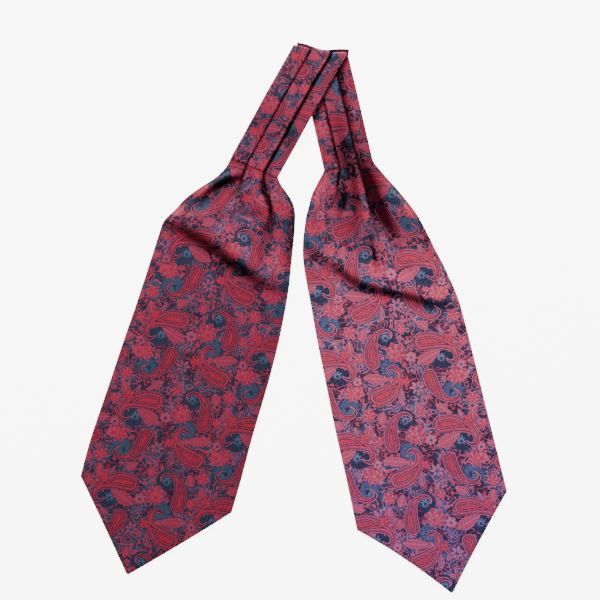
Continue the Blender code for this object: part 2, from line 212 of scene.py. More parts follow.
# ledges: line of (across, down) with the low side on its right, drop, width of the drop, gentle rise
# before it, painted shade at its foot
LEFT["ledges"] = [
    ([(-74, 78), (-63, 80.4), (-30, 87.3), (4, 98.9), (33, 108.3), (60, 112)], 8.0, 12.0, 36.0, 0.8),
    ([(-48, 53), (-38, 39), (-30, 29), (-20, 21), (-8, 14)], 4.0, 7.0, 16.0, 0.6),
]
RIGHT["ledges"] = [
    ([(-64, 66), (-47, 87), (-34, 103), (-18, 120), (0.6, 129.8), (20, 138.6), (39, 150), (55, 157.7),
      (74, 164)], 6.2, 9.5, 30.0, 0.66),
]
# painted shade, where places lie in shadow between folds: line of (across, down), strength, half width
LEFT["shades"] = [
    ([(-5, 4), (-12, 12), (-24, 20), (-36, 33), (-46, 50)], 1.1, 4.2),
    ([(8, 4), (12, 16), (20, 26), (29, 36)], 1.3, 3.0),
    ([(38, 10), (50, 26), (55, 52), (60, 96)], 0.5, 7.0),
    ([(-38, 26), (-51, 41), (-60, 55), (-70, 76)], 0.35, 6.0),
    ([(-3, 4), (-4, 12)], 0.5, 5.0),
]
RIGHT["shades"] = [
    ([(-1, -60), (0, -20), (1, 14), (-1, 36), (-7, 58)], 0.85, 7.5),
    ([(12, -10), (15, 12), (18, 36), (23, 60), (31, 84)], 1.4, 7.5),
    ([(-8, 2), (-9, 18), (-13, 34), (-20, 46)], 0.8, 3.6),
    ([(12, -125), (12, -60), (12, -6)], 0.65, 3.4),
    ([(36, 24), (48, 48), (57, 76), (65, 104), (72, 140)], 0.3, 8.0),
    ([(3, 62), (4, 88), (3, 112)], 0.7, 2.8),
]
# painted highlight, where the satin turns to the light and gleams: line of (across, down), strength,
# half width
LEFT["gleams"] = [
    ([(-16, 66), (1, 71), (18, 79), (33, 91), (49, 97)], 0.45, 9.0),
    ([(-9, 43), (9, 54), (26, 60), (43, 66)], 0.35, 10.0),
    ([(20, 59), (35, 73), (52, 87), (63, 100)], 0.55, 11.0),
]
RIGHT["gleams"] = [
    ([(-19, 90), (-9, 108), (3, 118), (19, 128), (37, 133), (49, 128)], 0.8, 6.0),
    ([(6, 16), (5, 39), (4, 61), (2, 80)], 0.7, 3.0),
    ([(12, 73), (16, 88), (22, 97)], 0.6, 5.0),
    ([(24, 27), (29, 47), (35, 65), (41, 91)], 0.5, 7.0),
    ([(-25, 13), (-39, 31), (-36, 48)], 0.6, 8.0),
    ([(2, 90), (-14, 94), (-23, 106)], 0.6, 6.0),
    ([(-4, -120), (-4, -60), (-4, -12)], 0.22, 26.0),
]
# a fold keeps a little of its strength at its very ends, and swells quickly from there
ENDS_SHARE, ENDS_POWER = 0.05, 0.6
# the painted shade of a ledge lies on the lower part of its drop: place and spread, as shares of the width
FOOT_PLACE, FOOT_SPREAD = 0.3, 0.6
# the painted shade along the seam at the neck: its strength, half width, length of a stitch, and how
# much darker the painted shade is at each stitch
SEAM_SHADE, SEAM_WIDTH, STITCH, STITCH_SHADE = 0.95, 0.9, 3.2, 0.3


def beside(line, across, down):
    """Signed distance of places from a line, and how far along it they are, from 0 to 1."""
    line = np.array(line, float)
    nearest, share, side = np.full_like(across, 1e9), np.zeros_like(across), np.ones_like(across)
    for index in range(len(line) - 1):
        start, run = line[index], line[index + 1] - line[index]
        over, under = across - start[0], down - start[1]
        along = np.clip((over * run[0] + under * run[1]) / (run @ run), 0.0, 1.0)
        distance = np.hypot(over - run[0] * along, under - run[1] * along)
        closer = distance < nearest
        nearest = np.where(closer, distance, nearest)
        share = np.where(closer, (index + along) / (len(line) - 1), share)
        side = np.where(closer, np.sign(run[0] * under - run[1] * over), side)
    return nearest * side, share


def taper(share):
    return np.sin(np.pi * np.clip(share, ENDS_SHARE, 1 - ENDS_SHARE)) ** ENDS_POWER


def marked(lines, across, down):
    """How strong the strongest of some soft lines is, for whole arrays of places."""
    mark = np.zeros_like(across)
    for line, strength, width in lines:
        distance, share = beside(line, across, down)
        mark = np.maximum(mark, strength * taper(share) * np.exp(-((distance / width) ** 2)))
    return mark


def shaded(half, across, down):
    """The painted light on each place: 1 for painted shade deep in a crease, 0 on plain cloth, -1 for a
    painted highlight where the satin gleams.
    """
    crease = marked(half["shades"], across, down)
    for line, _, width, _, strength in half["ledges"]:
        distance, share = beside(line, across, down)
        depth = np.exp(-(((distance / width + FOOT_PLACE) / FOOT_SPREAD) ** 2))
        crease = np.maximum(crease, strength * taper(share) * depth)
    # the band is tacked to the blade by hand, and the seam gets painted shade, darker at every stitch
    stitched = 1.0 - STITCH_SHADE * (1.0 - np.sin(across * 2 * np.pi / STITCH))
    seam = SEAM_SHADE * stitched * np.exp(-((down / SEAM_WIDTH) ** 2))
    crease = np.clip(np.maximum(crease, seam), 0.0, 1.0)
    return crease - marked(half["gleams"], across, down) * (1.0 - crease)


def folded(half, across, down):
    """The height that the folds add, for whole arrays of places."""
    total = np.zeros_like(across)
    for line, rise, width in half["swells"]:
        distance, share = beside(line, across, down)
        total += rise * taper(share) * np.exp(-((distance / width) ** 2))
    for line, drop, width, gentle, _ in half["ledges"]:
        distance, share = beside(line, across, down)
        rising = ease((distance + gentle) / gentle)
        total += drop * taper(share) * rising * (1.0 - ease((distance + width) / width))
    return total


place = np.array([0.0]), np.array([125.0])
print("on the right ledge:", folded(RIGHT, *place).round(2), "mm up, shade", shaded(RIGHT, *place).round(2))

# %% [markdown]
# ## The section across the cloth
# Across the band the cloth turns under at its left edge, comes back over the top, doubles back
# under the box pleat, and does the same on the right. Below the neck the two pleats open until the
# blade is flat. Each section is a chain of points with the same count, so that the sections can be
# skinned into one sheet, and its running length is kept: it is the pattern's coordinate, so the
# paisley runs under the pleats and comes out of them, as it does when figured cloth is pleated.

# %% One section
# steps along each part of a section
POINTS = dict(lip=7, bend=6, strip=26, tuck=5, middle=18)


def turned_edge(reach, lip):
    bend = -reach + WALL / 2 + BEND_RADIUS
    share = np.linspace(1.0, 0.0, POINTS["lip"] + 1)[:-1]
    turn = np.linspace(math.pi, 0.0, POINTS["bend"] + 1)
    across = np.concatenate([bend + lip * share, bend - BEND_RADIUS * np.sin(turn)])
    height = np.concatenate([np.full(len(share), LOW_LAYER), LOW_LAYER + BEND_RADIUS * (1 + np.cos(turn))])
    return np.column_stack([across, height])


def pleat(fold, turn, tuck):
    """A pleat that doubles back by `turn` degrees and carries the middle strip on top of it."""
    angle = math.radians(max(turn, 0.5))
    radius = BEND_LENGTH / angle
    sideways = 2.0 * radius * math.sin(angle) + tuck * math.cos(angle)
    top_end = fold + (radius + WALL / 2) * math.sin(min(angle, math.pi / 2))
    up = np.linspace(0.0, angle, POINTS["bend"] + 1)
    start = top_end - sideways
    rise = [np.column_stack([start + radius * np.sin(up), STRIP_LAYER + radius * (1 - np.cos(up))])]
    share = np.linspace(0.0, 1.0, POINTS["tuck"] + 1)[1:, None]
    rise.append(rise[-1][-1] + tuck * share * np.array([math.cos(angle), math.sin(angle)]))
    back = up[::-1][1:]
    bend = np.column_stack([math.sin(angle) - np.sin(back), np.cos(back) - math.cos(angle)])
    rise.append(rise[-1][-1] + radius * bend)
    return np.vstack(rise)


def between(first, last, count):
    share = np.linspace(0.0, 1.0, count + 1)[1:-1]
    return np.column_stack([first[0] + (last[0] - first[0]) * share,
                            first[1] + (last[1] - first[1]) * ease(share)])


def mirrored(points):
    return points[::-1] * (-1.0, 1.0)


# a pleat gets no painted shade up to the first turn and its full painted shade this many degrees later
SHADE_TURN, SHADE_RANGE = 30.0, 110.0
# how far its painted shade reaches on the strip, and where on its top bend the painted shade thins, as
# if the light caught it, and to what
SHADE_REACH = 2.3
LIT_FROM, LIT_SHADE = 0.6, 0.2


def pleat_painted_shade(strip, pleated, turn):
    """The painted shade beside a pleat, on the strip and inside the pleat itself."""
    closed = float(ease((turn - SHADE_TURN) / SHADE_RANGE))
    edge = pleated[np.argmax(np.abs(pleated[:, 0])), 0]
    beyond = np.exp(-(((strip[:, 0] - edge) / SHADE_REACH) ** 4))
    near = np.where(np.abs(strip[:, 0]) < abs(edge), 1.0, beyond)
    inner = POINTS["bend"] + 1 + POINTS["tuck"]
    bend = np.linspace(0.0, 1.0, POINTS["bend"] + 1)[1:]
    top = np.interp(bend, [0.0, LIT_FROM, 1.0], [1.0, 1.0, LIT_SHADE])
    return closed * near, closed * np.concatenate([np.ones(inner), top])


def section(left, right):
    """Points (across, height, shade), left to right. Each side: reach, fold, turn, tuck, lip."""
    left_edge, right_edge = turned_edge(left[0], left[4]), mirrored(turned_edge(right[0], right[4]))
    left_pleat = pleat(left[1], left[2], left[3])
    right_pleat = mirrored(pleat(-right[1], right[2], right[3]))
    left_strip = between(left_edge[-1], left_pleat[0], POINTS["strip"])
    right_strip = between(right_pleat[-1], right_edge[0], POINTS["strip"])
    middle = between(left_pleat[-1], right_pleat[0], POINTS["middle"])
    left_shade = pleat_painted_shade(left_strip, left_pleat, left[2])
    right_shade = pleat_painted_shade(right_strip, right_pleat, right[2])
    points = np.vstack([left_edge, left_strip, left_pleat, middle, right_pleat, right_strip, right_edge])
    plain = np.zeros(len(left_edge))
    shade = [plain, *left_shade, np.zeros(len(middle)), right_shade[1][::-1], right_shade[0], plain]
    return np.column_stack([points, np.concatenate(shade)])


def running_length(points):
    """How far along the cloth each point is, from where the middle strip crosses the middle line."""
    length = np.concatenate([[0.0], np.cumsum(np.hypot(*np.diff(points[:, :2], axis=0).T))])
    half = POINTS["middle"] // 2
    strip = slice(len(points) // 2 - half, len(points) // 2 + half + 1)
    return length - np.interp(0.0, points[strip, 0], length[strip])


band_section = section((24.4, -8.8, 180.0, TUCK, 22.1), (24.4, 8.8, 180.0, TUCK, 22.1))
print("cloth in the band:", round(float(np.ptp(running_length(band_section))), 1), "mm across",
      len(band_section), "points")

# %% [markdown]
# ## Skinning the sections into one sheet
# The band's section is swept up to the fold, where the left half turns down over the crease and the
# right half turns up under it. Below the neck the rows follow the opening pleats, and near the hem
# they bend until the last row is the pointed hem itself. Band and blade are one sheet, so the
# pleats run on without a break.

# %% Places of the band and of the blade
# rows round the fold and along the band
FOLD_ROWS, BAND_ROWS = 12, 61
# the two halves share the fold's axis and keep this far from it, and the fold gets painted shade at its top
AXIS_GAP = 0.15
FOLD_SHADE = 0.45


def heading(turn):
    lean = math.radians(turn)
    return np.array([-math.sin(lean), -math.cos(lean)]), np.array([math.cos(lean), -math.sin(lean)])


def neck_slope(half):
    return math.tan(math.radians(half["blade_turn"] - half["band_turn"]) / 2)


def band_rows(half):
    """Rows of the band from the fold to the neck: places (x, y, z) and the pattern's own coordinates."""
    on_top = half["side"] == "left"
    forward, sideways = heading(half["band_turn"])
    along = (CREASE[1] - CREASE[0]) / np.linalg.norm(CREASE[1] - CREASE[0])
    outward = np.array([-along[1], along[0]])
    crease_slope = float(along @ forward) / float(along @ sideways)
    axis_height = BAND_HEIGHT + STACK_GAP / 2 + (AXIS_GAP if on_top else -AXIS_GAP)
    start = CREASE_MIDDLE - outward * (BAND_HEIGHT + STACK_GAP / 2)
    length = float((np.array(half["neck"]) - start) @ forward)
    drift = float((np.array(half["neck"]) - start) @ sideways)
    lip = (sum(half["band"]) - BACK_SLIT) / 2 - EDGE_INSET - BEND_RADIUS
    line = section((half["band"][0], half["folds"][0], 180.0, TUCK, lip),
                   (half["band"][1], half["folds"][1], 180.0, TUCK, lip))
    run = running_length(line)
    across, height = line[:, 0], line[:, 1]
    stations = [(length, angle) for angle in np.linspace(90.0, 0.0, FOLD_ROWS + 1)[:-1]]
    stations += [(up, 0.0) for up in np.linspace(length, 0.0, BAND_ROWS + 1)[:-1]]
    rows, pattern, shade = [], [], []
    for up, turn in stations:
        painted_light = LEFT_LIFT * ease((up - LIFT_START) / (LIFT_END - LIFT_START)) if on_top else 0.0
        near_crease = ease((up - length + SKEW_RAMP) / SKEW_RAMP)
        slope = crease_slope * near_crease + neck_slope(half) * (1.0 - ease(up / NECK_RAMP))
        dip = CREASE_DIP * ease((up - length + DIP_RAMP) / DIP_RAMP)
        radius = height + painted_light - axis_height
        bulge = np.abs(radius) * math.sin(math.radians(turn))
        bulge = bulge - dip * np.exp(-((across / CREASE_DIP_WIDTH) ** 2))
        centre = start + forward * (length - up) + sideways * drift * (1.0 - up / length)
        place = centre + across[:, None] * (sideways + forward * slope) + bulge[:, None] * outward
        rows.append(np.column_stack([place, axis_height + radius * math.cos(math.radians(turn))]))
        rolled = up + np.abs(radius) * math.radians(turn) - slope * across
        pattern.append(np.column_stack([run, rolled]))
        # painted shade and painted highlight: the pleats', the marked lines' and the top of the fold
        dark = line[:, 2] + shaded(half, across, np.full(len(line), -up)) + FOLD_SHADE * (turn / 90.0) ** 2
        shade.append(np.minimum(dark, 1.0))
    return np.array(rows), np.array(pattern), np.array(shade)


for half in (LEFT, RIGHT):
    print(half["side"], "band rows and points:", band_rows(half)[0].shape[:2])

# %% [markdown]
# ## The rows of the blade
# The rows run straight across the blade as far down as its sides run on. The hem is a blunt point,
# so from there the rows bend little by little, and the last one is the hem. A grid that follows the
# hem has a clean edge and needs no cutting. The loft and the folds are added row by row, and they
# fade at the sides, where the two layers are pressed flat.

# %% Rows of the blade
# rows go straight across down to here, this far apart, and then bend towards the hem
LAST_STRAIGHT = 231.5
ROW_STEPS = [(0.0, 1.5), (110.0, 1.7), (LAST_STRAIGHT, 2.6)]
HEM_ROWS = 58
# how the loft and the folds fade: at the sides, at the neck, towards the edges and down on the table
EDGE_FADE, NECK_FADE, SIDE_DROP, SOFT_FLOOR = 8.0, 20.0, 0.55, 0.4
# the last rows sink where the hem is rolled
HEM_ROLL, HEM_SHARE = 0.55, 0.03


def reach_at(half, right_side, down):
    widths = through(half["widths"], down.ravel()).reshape(*down.shape, 2)
    return np.where(right_side, widths[..., 1], widths[..., 0])


def blade_stations():
    down = [0.0]
    while down[-1] < LAST_STRAIGHT:
        down.append(down[-1] + float(through(ROW_STEPS, [down[-1]])[0, 0]))
    down[-1] = LAST_STRAIGHT
    straight = [(place, 0.0) for place in down]
    return straight + [(LAST_STRAIGHT, share) for share in np.linspace(0.0, 1.0, HEM_ROWS + 1)[1:]]


def to_hem(half, across, down, share_down):
    """Moves places on the last straight row towards the pointed hem."""
    point, left, right, hollow_left, hollow_right = half["hem"]
    on_right = across > 0
    share = across / reach_at(half, on_right, down)
    inward = np.clip(np.abs(share), 0.0, 1.0)
    corner, hollow = np.where(on_right, right, left), np.where(on_right, hollow_right, hollow_left)
    hem = point + (corner - point) * inward - 4.0 * hollow * inward * (1.0 - inward)
    place = down + (hem - down) * share_down
    return share * reach_at(half, on_right, place), place


def on_table(half, across, down):
    forward, sideways = heading(half["blade_turn"])
    slope = -neck_slope(half) * (1.0 - ease(down / NECK_RAMP))
    along = down + slope * across
    return np.array(half["neck"]) + along[..., None] * forward + across[..., None] * sideways


def lifted(half, across, down, height):
    """The height of the cloth once its loft and its folds are added."""
    middle = through(half["loft"], down.ravel()).reshape(down.shape)
    reach = reach_at(half, across > 0, down)
    inside = ease((reach - np.abs(across)) / EDGE_FADE)
    rounded = 1.0 - SIDE_DROP * (np.abs(across) / reach) ** 2
    raised = middle * rounded + folded(half, across, down) * ease(down / NECK_FADE)
    raised = 0.5 * (raised + np.hypot(raised, SOFT_FLOOR) - SOFT_FLOOR)
    return height + ease((height - LOW_LAYER) / LAYER) * np.maximum(raised, 0.0) * inside


def blade_rows(half):
    lines, runs, downs, shares = [], [], [], []
    for down, share_down in blade_stations():
        reach = through(half["widths"], [down])[0]
        left = through(half["left_pleat"], [down])[0]
        right = through(half["right_pleat"], [down])[0]
        line = section((reach[0], *left), (reach[1], *right))
        lines.append(line)
        runs.append(running_length(line))
        downs.append(np.full(len(line), down))
        shares.append(np.full(len(line), share_down))
    lines, runs, downs, shares = np.array(lines), np.array(runs), np.array(downs), np.array(shares)
    across, place = to_hem(half, lines[..., 0], downs, shares)
    runs = runs + across - lines[..., 0]
    height = lifted(half, across, place, lines[..., 1])
    rolled_hem = HEM_ROLL * ease(1.0 - (1.0 - shares) / HEM_SHARE) * ease((height - LOW_LAYER) / LAYER)
    points = np.concatenate([on_table(half, across, place), (height - rolled_hem)[..., None]], axis=-1)
    # painted shade and painted highlight from the folds, the seam and the pleats
    shade = np.minimum(shaded(half, across, place) + lines[..., 2], 1.0)
    return points, np.stack([runs, -place], axis=-1), shade


for half in (LEFT, RIGHT):
    points = blade_rows(half)[0]
    highest = round(float(points[..., 2].max()), 1)
    print(half["side"], "blade rows and points:", points.shape[:2], "highest", highest, "mm")

# %% [markdown]
# ## From points to cloth
# A primitive grid has exactly the rows and columns we need, so each sheet starts as one and its
# vertices are moved onto the points in code. Its UV map is given the cloth's own coordinates in
# metres. Solidify then gives the sheet its wall, and it is applied so that the piece is complete.

# %% Make a sheet
# how far the band's cut is from the blade's on the patterned silk
CUT_SHIFT = (38.0, 21.0)


def sheet(name, points, pattern, shade, seam_row=0, wall=WALL):
    """A sheet of cloth. Above its seam row it was cut from another place of the silk."""
    bpy.ops.object.select_all(action="DESELECT")
    rows, columns = points.shape[:2]
    bpy.ops.mesh.primitive_grid_add(x_subdivisions=columns - 1, y_subdivisions=rows - 1, size=1)
    cloth = bpy.context.object
    cloth.name = cloth.data.name = name
    mesh = cloth.data
    mesh.vertices.foreach_set("co", (points.reshape(-1, 3) * MM).ravel())
    corner = np.empty(len(mesh.loops), np.int32)
    mesh.loops.foreach_get("vertex_index", corner)
    on_cloth = pattern.reshape(-1, 2)[corner]
    on_cloth[np.arange(len(corner)) // 4 // (columns - 1) < seam_row] += CUT_SHIFT
    mesh.uv_layers.active.data.foreach_set("uv", (on_cloth * MM).ravel())
    # the painted shade and painted highlight of each place, kept for the silk to read
    mesh.attributes.new("fold_light", "FLOAT", "POINT").data.foreach_set("value", shade.ravel())
    mesh.polygons.foreach_set("use_smooth", np.ones(len(mesh.polygons), bool))
    mesh.update()
    solid = cloth.modifiers.new("Wall", "SOLIDIFY")
    solid.thickness = wall * MM
    solid.offset = 0.0
    solid.use_even_offset = True
    bpy.ops.object.modifier_apply(modifier=solid.name)
    print(name, len(cloth.data.polygons), "faces")
    return cloth


fronts = {}
for half in (LEFT, RIGHT):
    band, blade = band_rows(half), blade_rows(half)
    skinned = [np.concatenate(parts) for parts in zip(band, blade)]
    fronts[half["side"]] = sheet(f"{half['side']}_front_cloth", *skinned, seam_row=len(band[0]))

# %% [markdown]
# ## The back of each blade
# The cravat is self-lined, so the back of each blade is the same silk. It lies flat on the table
# between the edges of the front that turn under, and stops just short of them.

# %% Back panels
# the back starts below the neck, keeps clear of the turned edges, and is cut from beside the front
BACK_START, BACK_CLEAR, BACK_SHIFT = 6.4, 0.4, 37.0


def back_rows(half, columns=40):
    points, pattern = [], []
    for down, share_down in blade_stations():
        if down < BACK_START:
            continue
        reach = through(half["widths"], [down])[0]
        lips = through(half["left_pleat"], [down])[0, 3], through(half["right_pleat"], [down])[0, 3]
        turned_in = EDGE_INSET + BEND_RADIUS + BACK_CLEAR
        across = np.linspace(-(reach[0] - lips[0] - turned_in), reach[1] - lips[1] - turned_in, columns)
        moved, place = to_hem(half, across, np.full(columns, down), np.full(columns, share_down))
        points.append(np.column_stack([on_table(half, moved, place), np.full(columns, LOW_LAYER)]))
        pattern.append(np.column_stack([moved + BACK_SHIFT, -place]))
    return np.array(points), np.array(pattern), np.zeros((len(points), columns))


backs = {}
for half in (LEFT, RIGHT):
    backs[half["side"]] = sheet(f"{half['side']}_back_cloth", *back_rows(half))

# %% [markdown]
# ## Drawing with nodes
# The paisley is woven into the silk, so it is drawn by the material itself. Everything is worked
# out from the cloth's own coordinates, in millimetres, and no picture is used. One helper adds any
# node, with its settings and its inputs, and gives back its outputs.

# %% Helpers for materials
def linear(code):
    """A colour written as sRGB hex, as Blender's linear colour."""
    values = [int(code[place : place + 2], 16) / 255 for place in (1, 3, 5)]
    return (*[v / 12.92 if v <= 0.04045 else ((v + 0.055) / 1.055) ** 2.4 for v in values], 1.0)


def add(tree, kind, inputs=(), **settings):
    """Adds one node. An input is a number, a colour, a vector or another node's output."""
    node = tree.nodes.new(kind)
    for name, value in settings.items():
        setattr(node, name, value)
    pairs = inputs.items() if isinstance(inputs, dict) else enumerate(inputs)
    for socket, value in pairs:
        if isinstance(value, bpy.types.NodeSocket):
            tree.links.new(value, node.inputs[socket])
        elif value is not None:
            node.inputs[socket].default_value = value
    return node.outputs


def motif(name, numbers):
    """An empty node group that takes a place and some numbers, and gives a tone and a mask."""
    tree = bpy.data.node_groups.new(name, "ShaderNodeTree")
    tree.interface.new_socket("Place", in_out="INPUT", socket_type="NodeSocketVector")
    for number in numbers:
        tree.interface.new_socket(number, in_out="INPUT", socket_type="NodeSocketFloat")
    for result in ("Tone", "Mask"):
        tree.interface.new_socket(result, in_out="OUTPUT", socket_type="NodeSocketFloat")
    return tree, add(tree, "NodeGroupInput")


MATH, VECTOR, MIX = "ShaderNodeMath", "ShaderNodeVectorMath", "ShaderNodeMix"
SPLIT, JOIN = "ShaderNodeSeparateXYZ", "ShaderNodeCombineXYZ"
# the wefts, in the order in which one shades into the next where the weave is mixed
TONES = {
    "gap": 0.0, "ground": 0.1, "slate": 0.2, "aster": 0.32, "line": 0.44,
    "plum": 0.54, "pink": 0.66, "red": 0.8, "flame": 0.95,
}
GROUND, SLATE, ASTER, LINE, PLUM, PINK, RED, FLAME = list(TONES.values())[1:]
# a thin line of plain ground round every flower and leaf
HALO = 0.5
print("a mid red:", [round(value, 3) for value in linear("#C8304A")])

# %% [markdown]
# ## The boteh
# The boteh is the bent drop that makes a paisley. Seen along its own spine it is simple: a round
# head, and a body that narrows to a curled tip. So we first straighten it. Up to the start of the
# curl the spine is a straight line, and beyond it the spine is an arc that tightens. "Along" is how
# far we are up the spine and "aside" is how far from it. The rings inside the drop are a few threads
# wide whatever its size, so they are drawn by the distance in from its edge.

# %% Motif: boteh
def curve_points(node, points):
    curve = node.mapping.curves[0]
    curve.points[0].location, curve.points[-1].location = points[0], points[-1]
    for place in points[1:-1]:
        curve.points.new(*place)
    node.mapping.update()


# how strongly the straight part of the spine bows
BOW = -0.014
boteh, given = motif("boteh", ("Ragged", "Straight", "Curl", "Half width", "Scallop", "Arc"))
centre = add(boteh, JOIN, [given["Curl"], given["Straight"], 0.0])[0]
x, y, _ = add(boteh, SPLIT, [given["Place"]])
rise = add(boteh, MATH, [y, given["Straight"]], operation="SUBTRACT")[0]
up = add(boteh, MATH, [y, 0.0], operation="MAXIMUM")[0]
bow = add(boteh, MATH, [rise, 6.0], operation="MINIMUM")[0]
bow = add(boteh, MATH, [bow, up], operation="MULTIPLY")[0]
x = add(boteh, MATH, [bow, BOW, x], operation="MULTIPLY_ADD")[0]
place = add(boteh, JOIN, [x, y, 0.0])[0]
inward = add(boteh, MATH, [given["Curl"], x], operation="SUBTRACT")[0]
bearing = add(boteh, MATH, [rise, inward], operation="ARCTAN2")[0]
bearing = add(boteh, MATH, [bearing, 2 * math.pi, 0.0], operation="WRAP")[0]
beyond = add(boteh, MATH, [y, given["Straight"]], operation="GREATER_THAN")[0]
past = add(boteh, MATH, [x, given["Curl"]], operation="GREATER_THAN")[0]
curled = add(boteh, MATH, [beyond, past], operation="MAXIMUM")[0]
from_centre = add(boteh, VECTOR, [place, centre], operation="DISTANCE")["Value"]
tighter = add(boteh, MATH, [bearing, -0.085, 1.0], operation="MULTIPLY_ADD")[0]
arc_aside = add(boteh, MATH, [given["Curl"], tighter], operation="MULTIPLY")[0]
arc_aside = add(boteh, MATH, [arc_aside, from_centre], operation="SUBTRACT")[0]
arc_along = add(boteh, MATH, [bearing, given["Curl"], given["Straight"]], operation="MULTIPLY_ADD")[0]
along = add(boteh, MIX, [curled, None, y, arc_along])[0]
aside = add(boteh, MIX, [curled, None, x, arc_aside])[0]
whole = add(boteh, MATH, [given["Arc"], given["Curl"], given["Straight"]], operation="MULTIPLY_ADD")[0]
share = add(boteh, MATH, [along, whole], operation="DIVIDE")[0]
profile = add(boteh, "ShaderNodeFloatCurve", [1.0, share])
points = [(0.0, 1.0), (0.1, 1.0), (0.26, 0.86), (0.44, 0.62), (0.64, 0.4), (0.82, 0.26), (1.0, 0.18)]
curve_points(profile[0].node, points)
half_width = add(boteh, MATH, [profile[0], given["Half width"]], operation="MULTIPLY")[0]
wave = add(boteh, MATH, [along, 1.35], operation="MULTIPLY")[0]
wave = add(boteh, MATH, [wave], operation="SINE")[0]
wave = add(boteh, MATH, [wave], operation="ABSOLUTE")[0]
wave = add(boteh, MATH, [wave, given["Scallop"], 1.08], operation="MULTIPLY_ADD")[0]
wave = add(boteh, MATH, [given["Ragged"], 0.03, wave], operation="MULTIPLY_ADD")[0]
below = add(boteh, MATH, [along, 0.0], operation="MINIMUM")[0]
offset = add(boteh, JOIN, [aside, below, 0.0])[0]
offset = add(boteh, VECTOR, [offset], operation="LENGTH")["Value"]
edge = add(boteh, MATH, [half_width, wave], operation="MULTIPLY")[0]
inner = add(boteh, MATH, [edge, offset], operation="SUBTRACT")[0]
inside = add(boteh, MATH, [inner, 0.0], operation="GREATER_THAN")[0]
ends = add(boteh, MATH, [share, 1.0], operation="LESS_THAN")[0]
depth = add(boteh, MATH, [inner, 0.1], operation="MULTIPLY")[0]
rings = add(boteh, "ShaderNodeValToRGB", [depth])
# tones from the edge inwards, one hundredth of the ramp to each tenth of a millimetre
stops = [
    (0.0, "line"), (0.06, "line"), (0.065, "pink"), (0.145, "pink"), (0.15, "line"), (0.235, "line"),
    (0.24, "red"), (0.38, "red"), (0.42, "plum"), (0.46, "red"), (1.0, "red"),
]


def set_ramp(outputs, stops, interpolation="LINEAR"):
    """Gives a colour ramp its stops: place and grey value or colour."""
    ramp = outputs[0].node.color_ramp
    ramp.interpolation = interpolation
    while len(ramp.elements) > 1:
        ramp.elements.remove(ramp.elements[-1])
    for index, (place, value) in enumerate(stops):
        stop = ramp.elements[0] if index == 0 else ramp.elements.new(place)
        stop.position = place
        stop.color = value if hasattr(value, "__len__") else (value, value, value, 1.0)


set_ramp(rings, [(place, TONES[tone]) for place, tone in stops])
lens = add(boteh, "ShaderNodeFloatCurve", [1.0, share])
curve_points(lens[0].node, [(0.0, 0.56), (0.1, 0.58), (0.26, 0.42), (0.5, 0.0), (1.0, 0.0)])
lens_width = add(boteh, MATH, [lens[0], given["Half width"]], operation="MULTIPLY")[0]
dashes = add(boteh, MATH, [along, 2.1], operation="MULTIPLY")[0]
dashes = add(boteh, MATH, [dashes], operation="SINE")[0]
core = add(boteh, MATH, [lens_width, offset], operation="SUBTRACT")[0]
in_core = add(boteh, MATH, [core, 0.0], operation="GREATER_THAN")[0]
core = add(boteh, MATH, [dashes, 0.22, core], operation="MULTIPLY_ADD")[0]
core = add(boteh, MATH, [core, 0.1], operation="MULTIPLY")[0]
core_tone = add(boteh, "ShaderNodeValToRGB", [core])
stops = [
    (0.0, "line"), (0.08, "line"), (0.085, "pink"), (0.14, "red"), (0.22, "red"), (0.225, "line"),
    (0.285, "line"), (0.29, "red"), (0.36, "flame"), (0.42, "red"), (1.0, "red"),
]
set_ramp(core_tone, [(place, TONES[tone]) for place, tone in stops])
tone = add(boteh, MIX, [in_core, None, rings[0], core_tone[0]])[0]
mask = add(boteh, MATH, [inside, ends], operation="MULTIPLY")[0]
add(boteh, "NodeGroupOutput", [tone, mask])
print("boteh:", len(boteh.nodes), "nodes")

# %% [markdown]
# ## Flowers and stars
# A flower is a circle whose radius swells at each petal. With many thin petals it is an aster, with
# few round ones a rosette, and with a lopsided radius a palmette.

# %% Motif: flower
numbers = ("Ragged", "Petals", "Pointed", "Radius", "Depth", "Lean", "Fill", "Edge", "Eye")
flower, given = motif("flower", numbers)
x, y, _ = add(flower, SPLIT, [given["Place"]])
bearing = add(flower, MATH, [x, y], operation="ARCTAN2")[0]
away = add(flower, VECTOR, [given["Place"]], operation="LENGTH")["Value"]
petal = add(flower, MATH, [bearing, given["Petals"]], operation="MULTIPLY")[0]
petal = add(flower, MATH, [petal, 0.5], operation="MULTIPLY")[0]
petal = add(flower, MATH, [petal], operation="COSINE")[0]
petal = add(flower, MATH, [petal], operation="ABSOLUTE")[0]
petal = add(flower, MATH, [given["Pointed"], petal], operation="SUBTRACT")[0]
petal = add(flower, MATH, [petal], operation="ABSOLUTE")[0]
dent = add(flower, MATH, [1.0, petal], operation="SUBTRACT")[0]
dent = add(flower, MATH, [dent, given["Depth"]], operation="MULTIPLY")[0]
lean = add(flower, MATH, [bearing], operation="COSINE")[0]
lean = add(flower, MATH, [lean, given["Lean"], 1.0], operation="MULTIPLY_ADD")[0]
size = add(flower, MATH, [lean, dent], operation="SUBTRACT")[0]
size = add(flower, MATH, [size, given["Radius"]], operation="MULTIPLY")[0]
inner = add(flower, MATH, [size, away], operation="SUBTRACT")[0]
inner = add(flower, MATH, [given["Ragged"], 1.4, inner], operation="MULTIPLY_ADD")[0]
mask = add(flower, MATH, [inner, -HALO], operation="GREATER_THAN")[0]
within = add(flower, MATH, [inner, 0.0], operation="GREATER_THAN")[0]
past_edge = add(flower, MATH, [inner, 0.75], operation="GREATER_THAN")[0]
vein = add(flower, MATH, [petal, 0.13], operation="GREATER_THAN")[0]
filled = add(flower, MATH, [past_edge, vein], operation="MULTIPLY")[0]
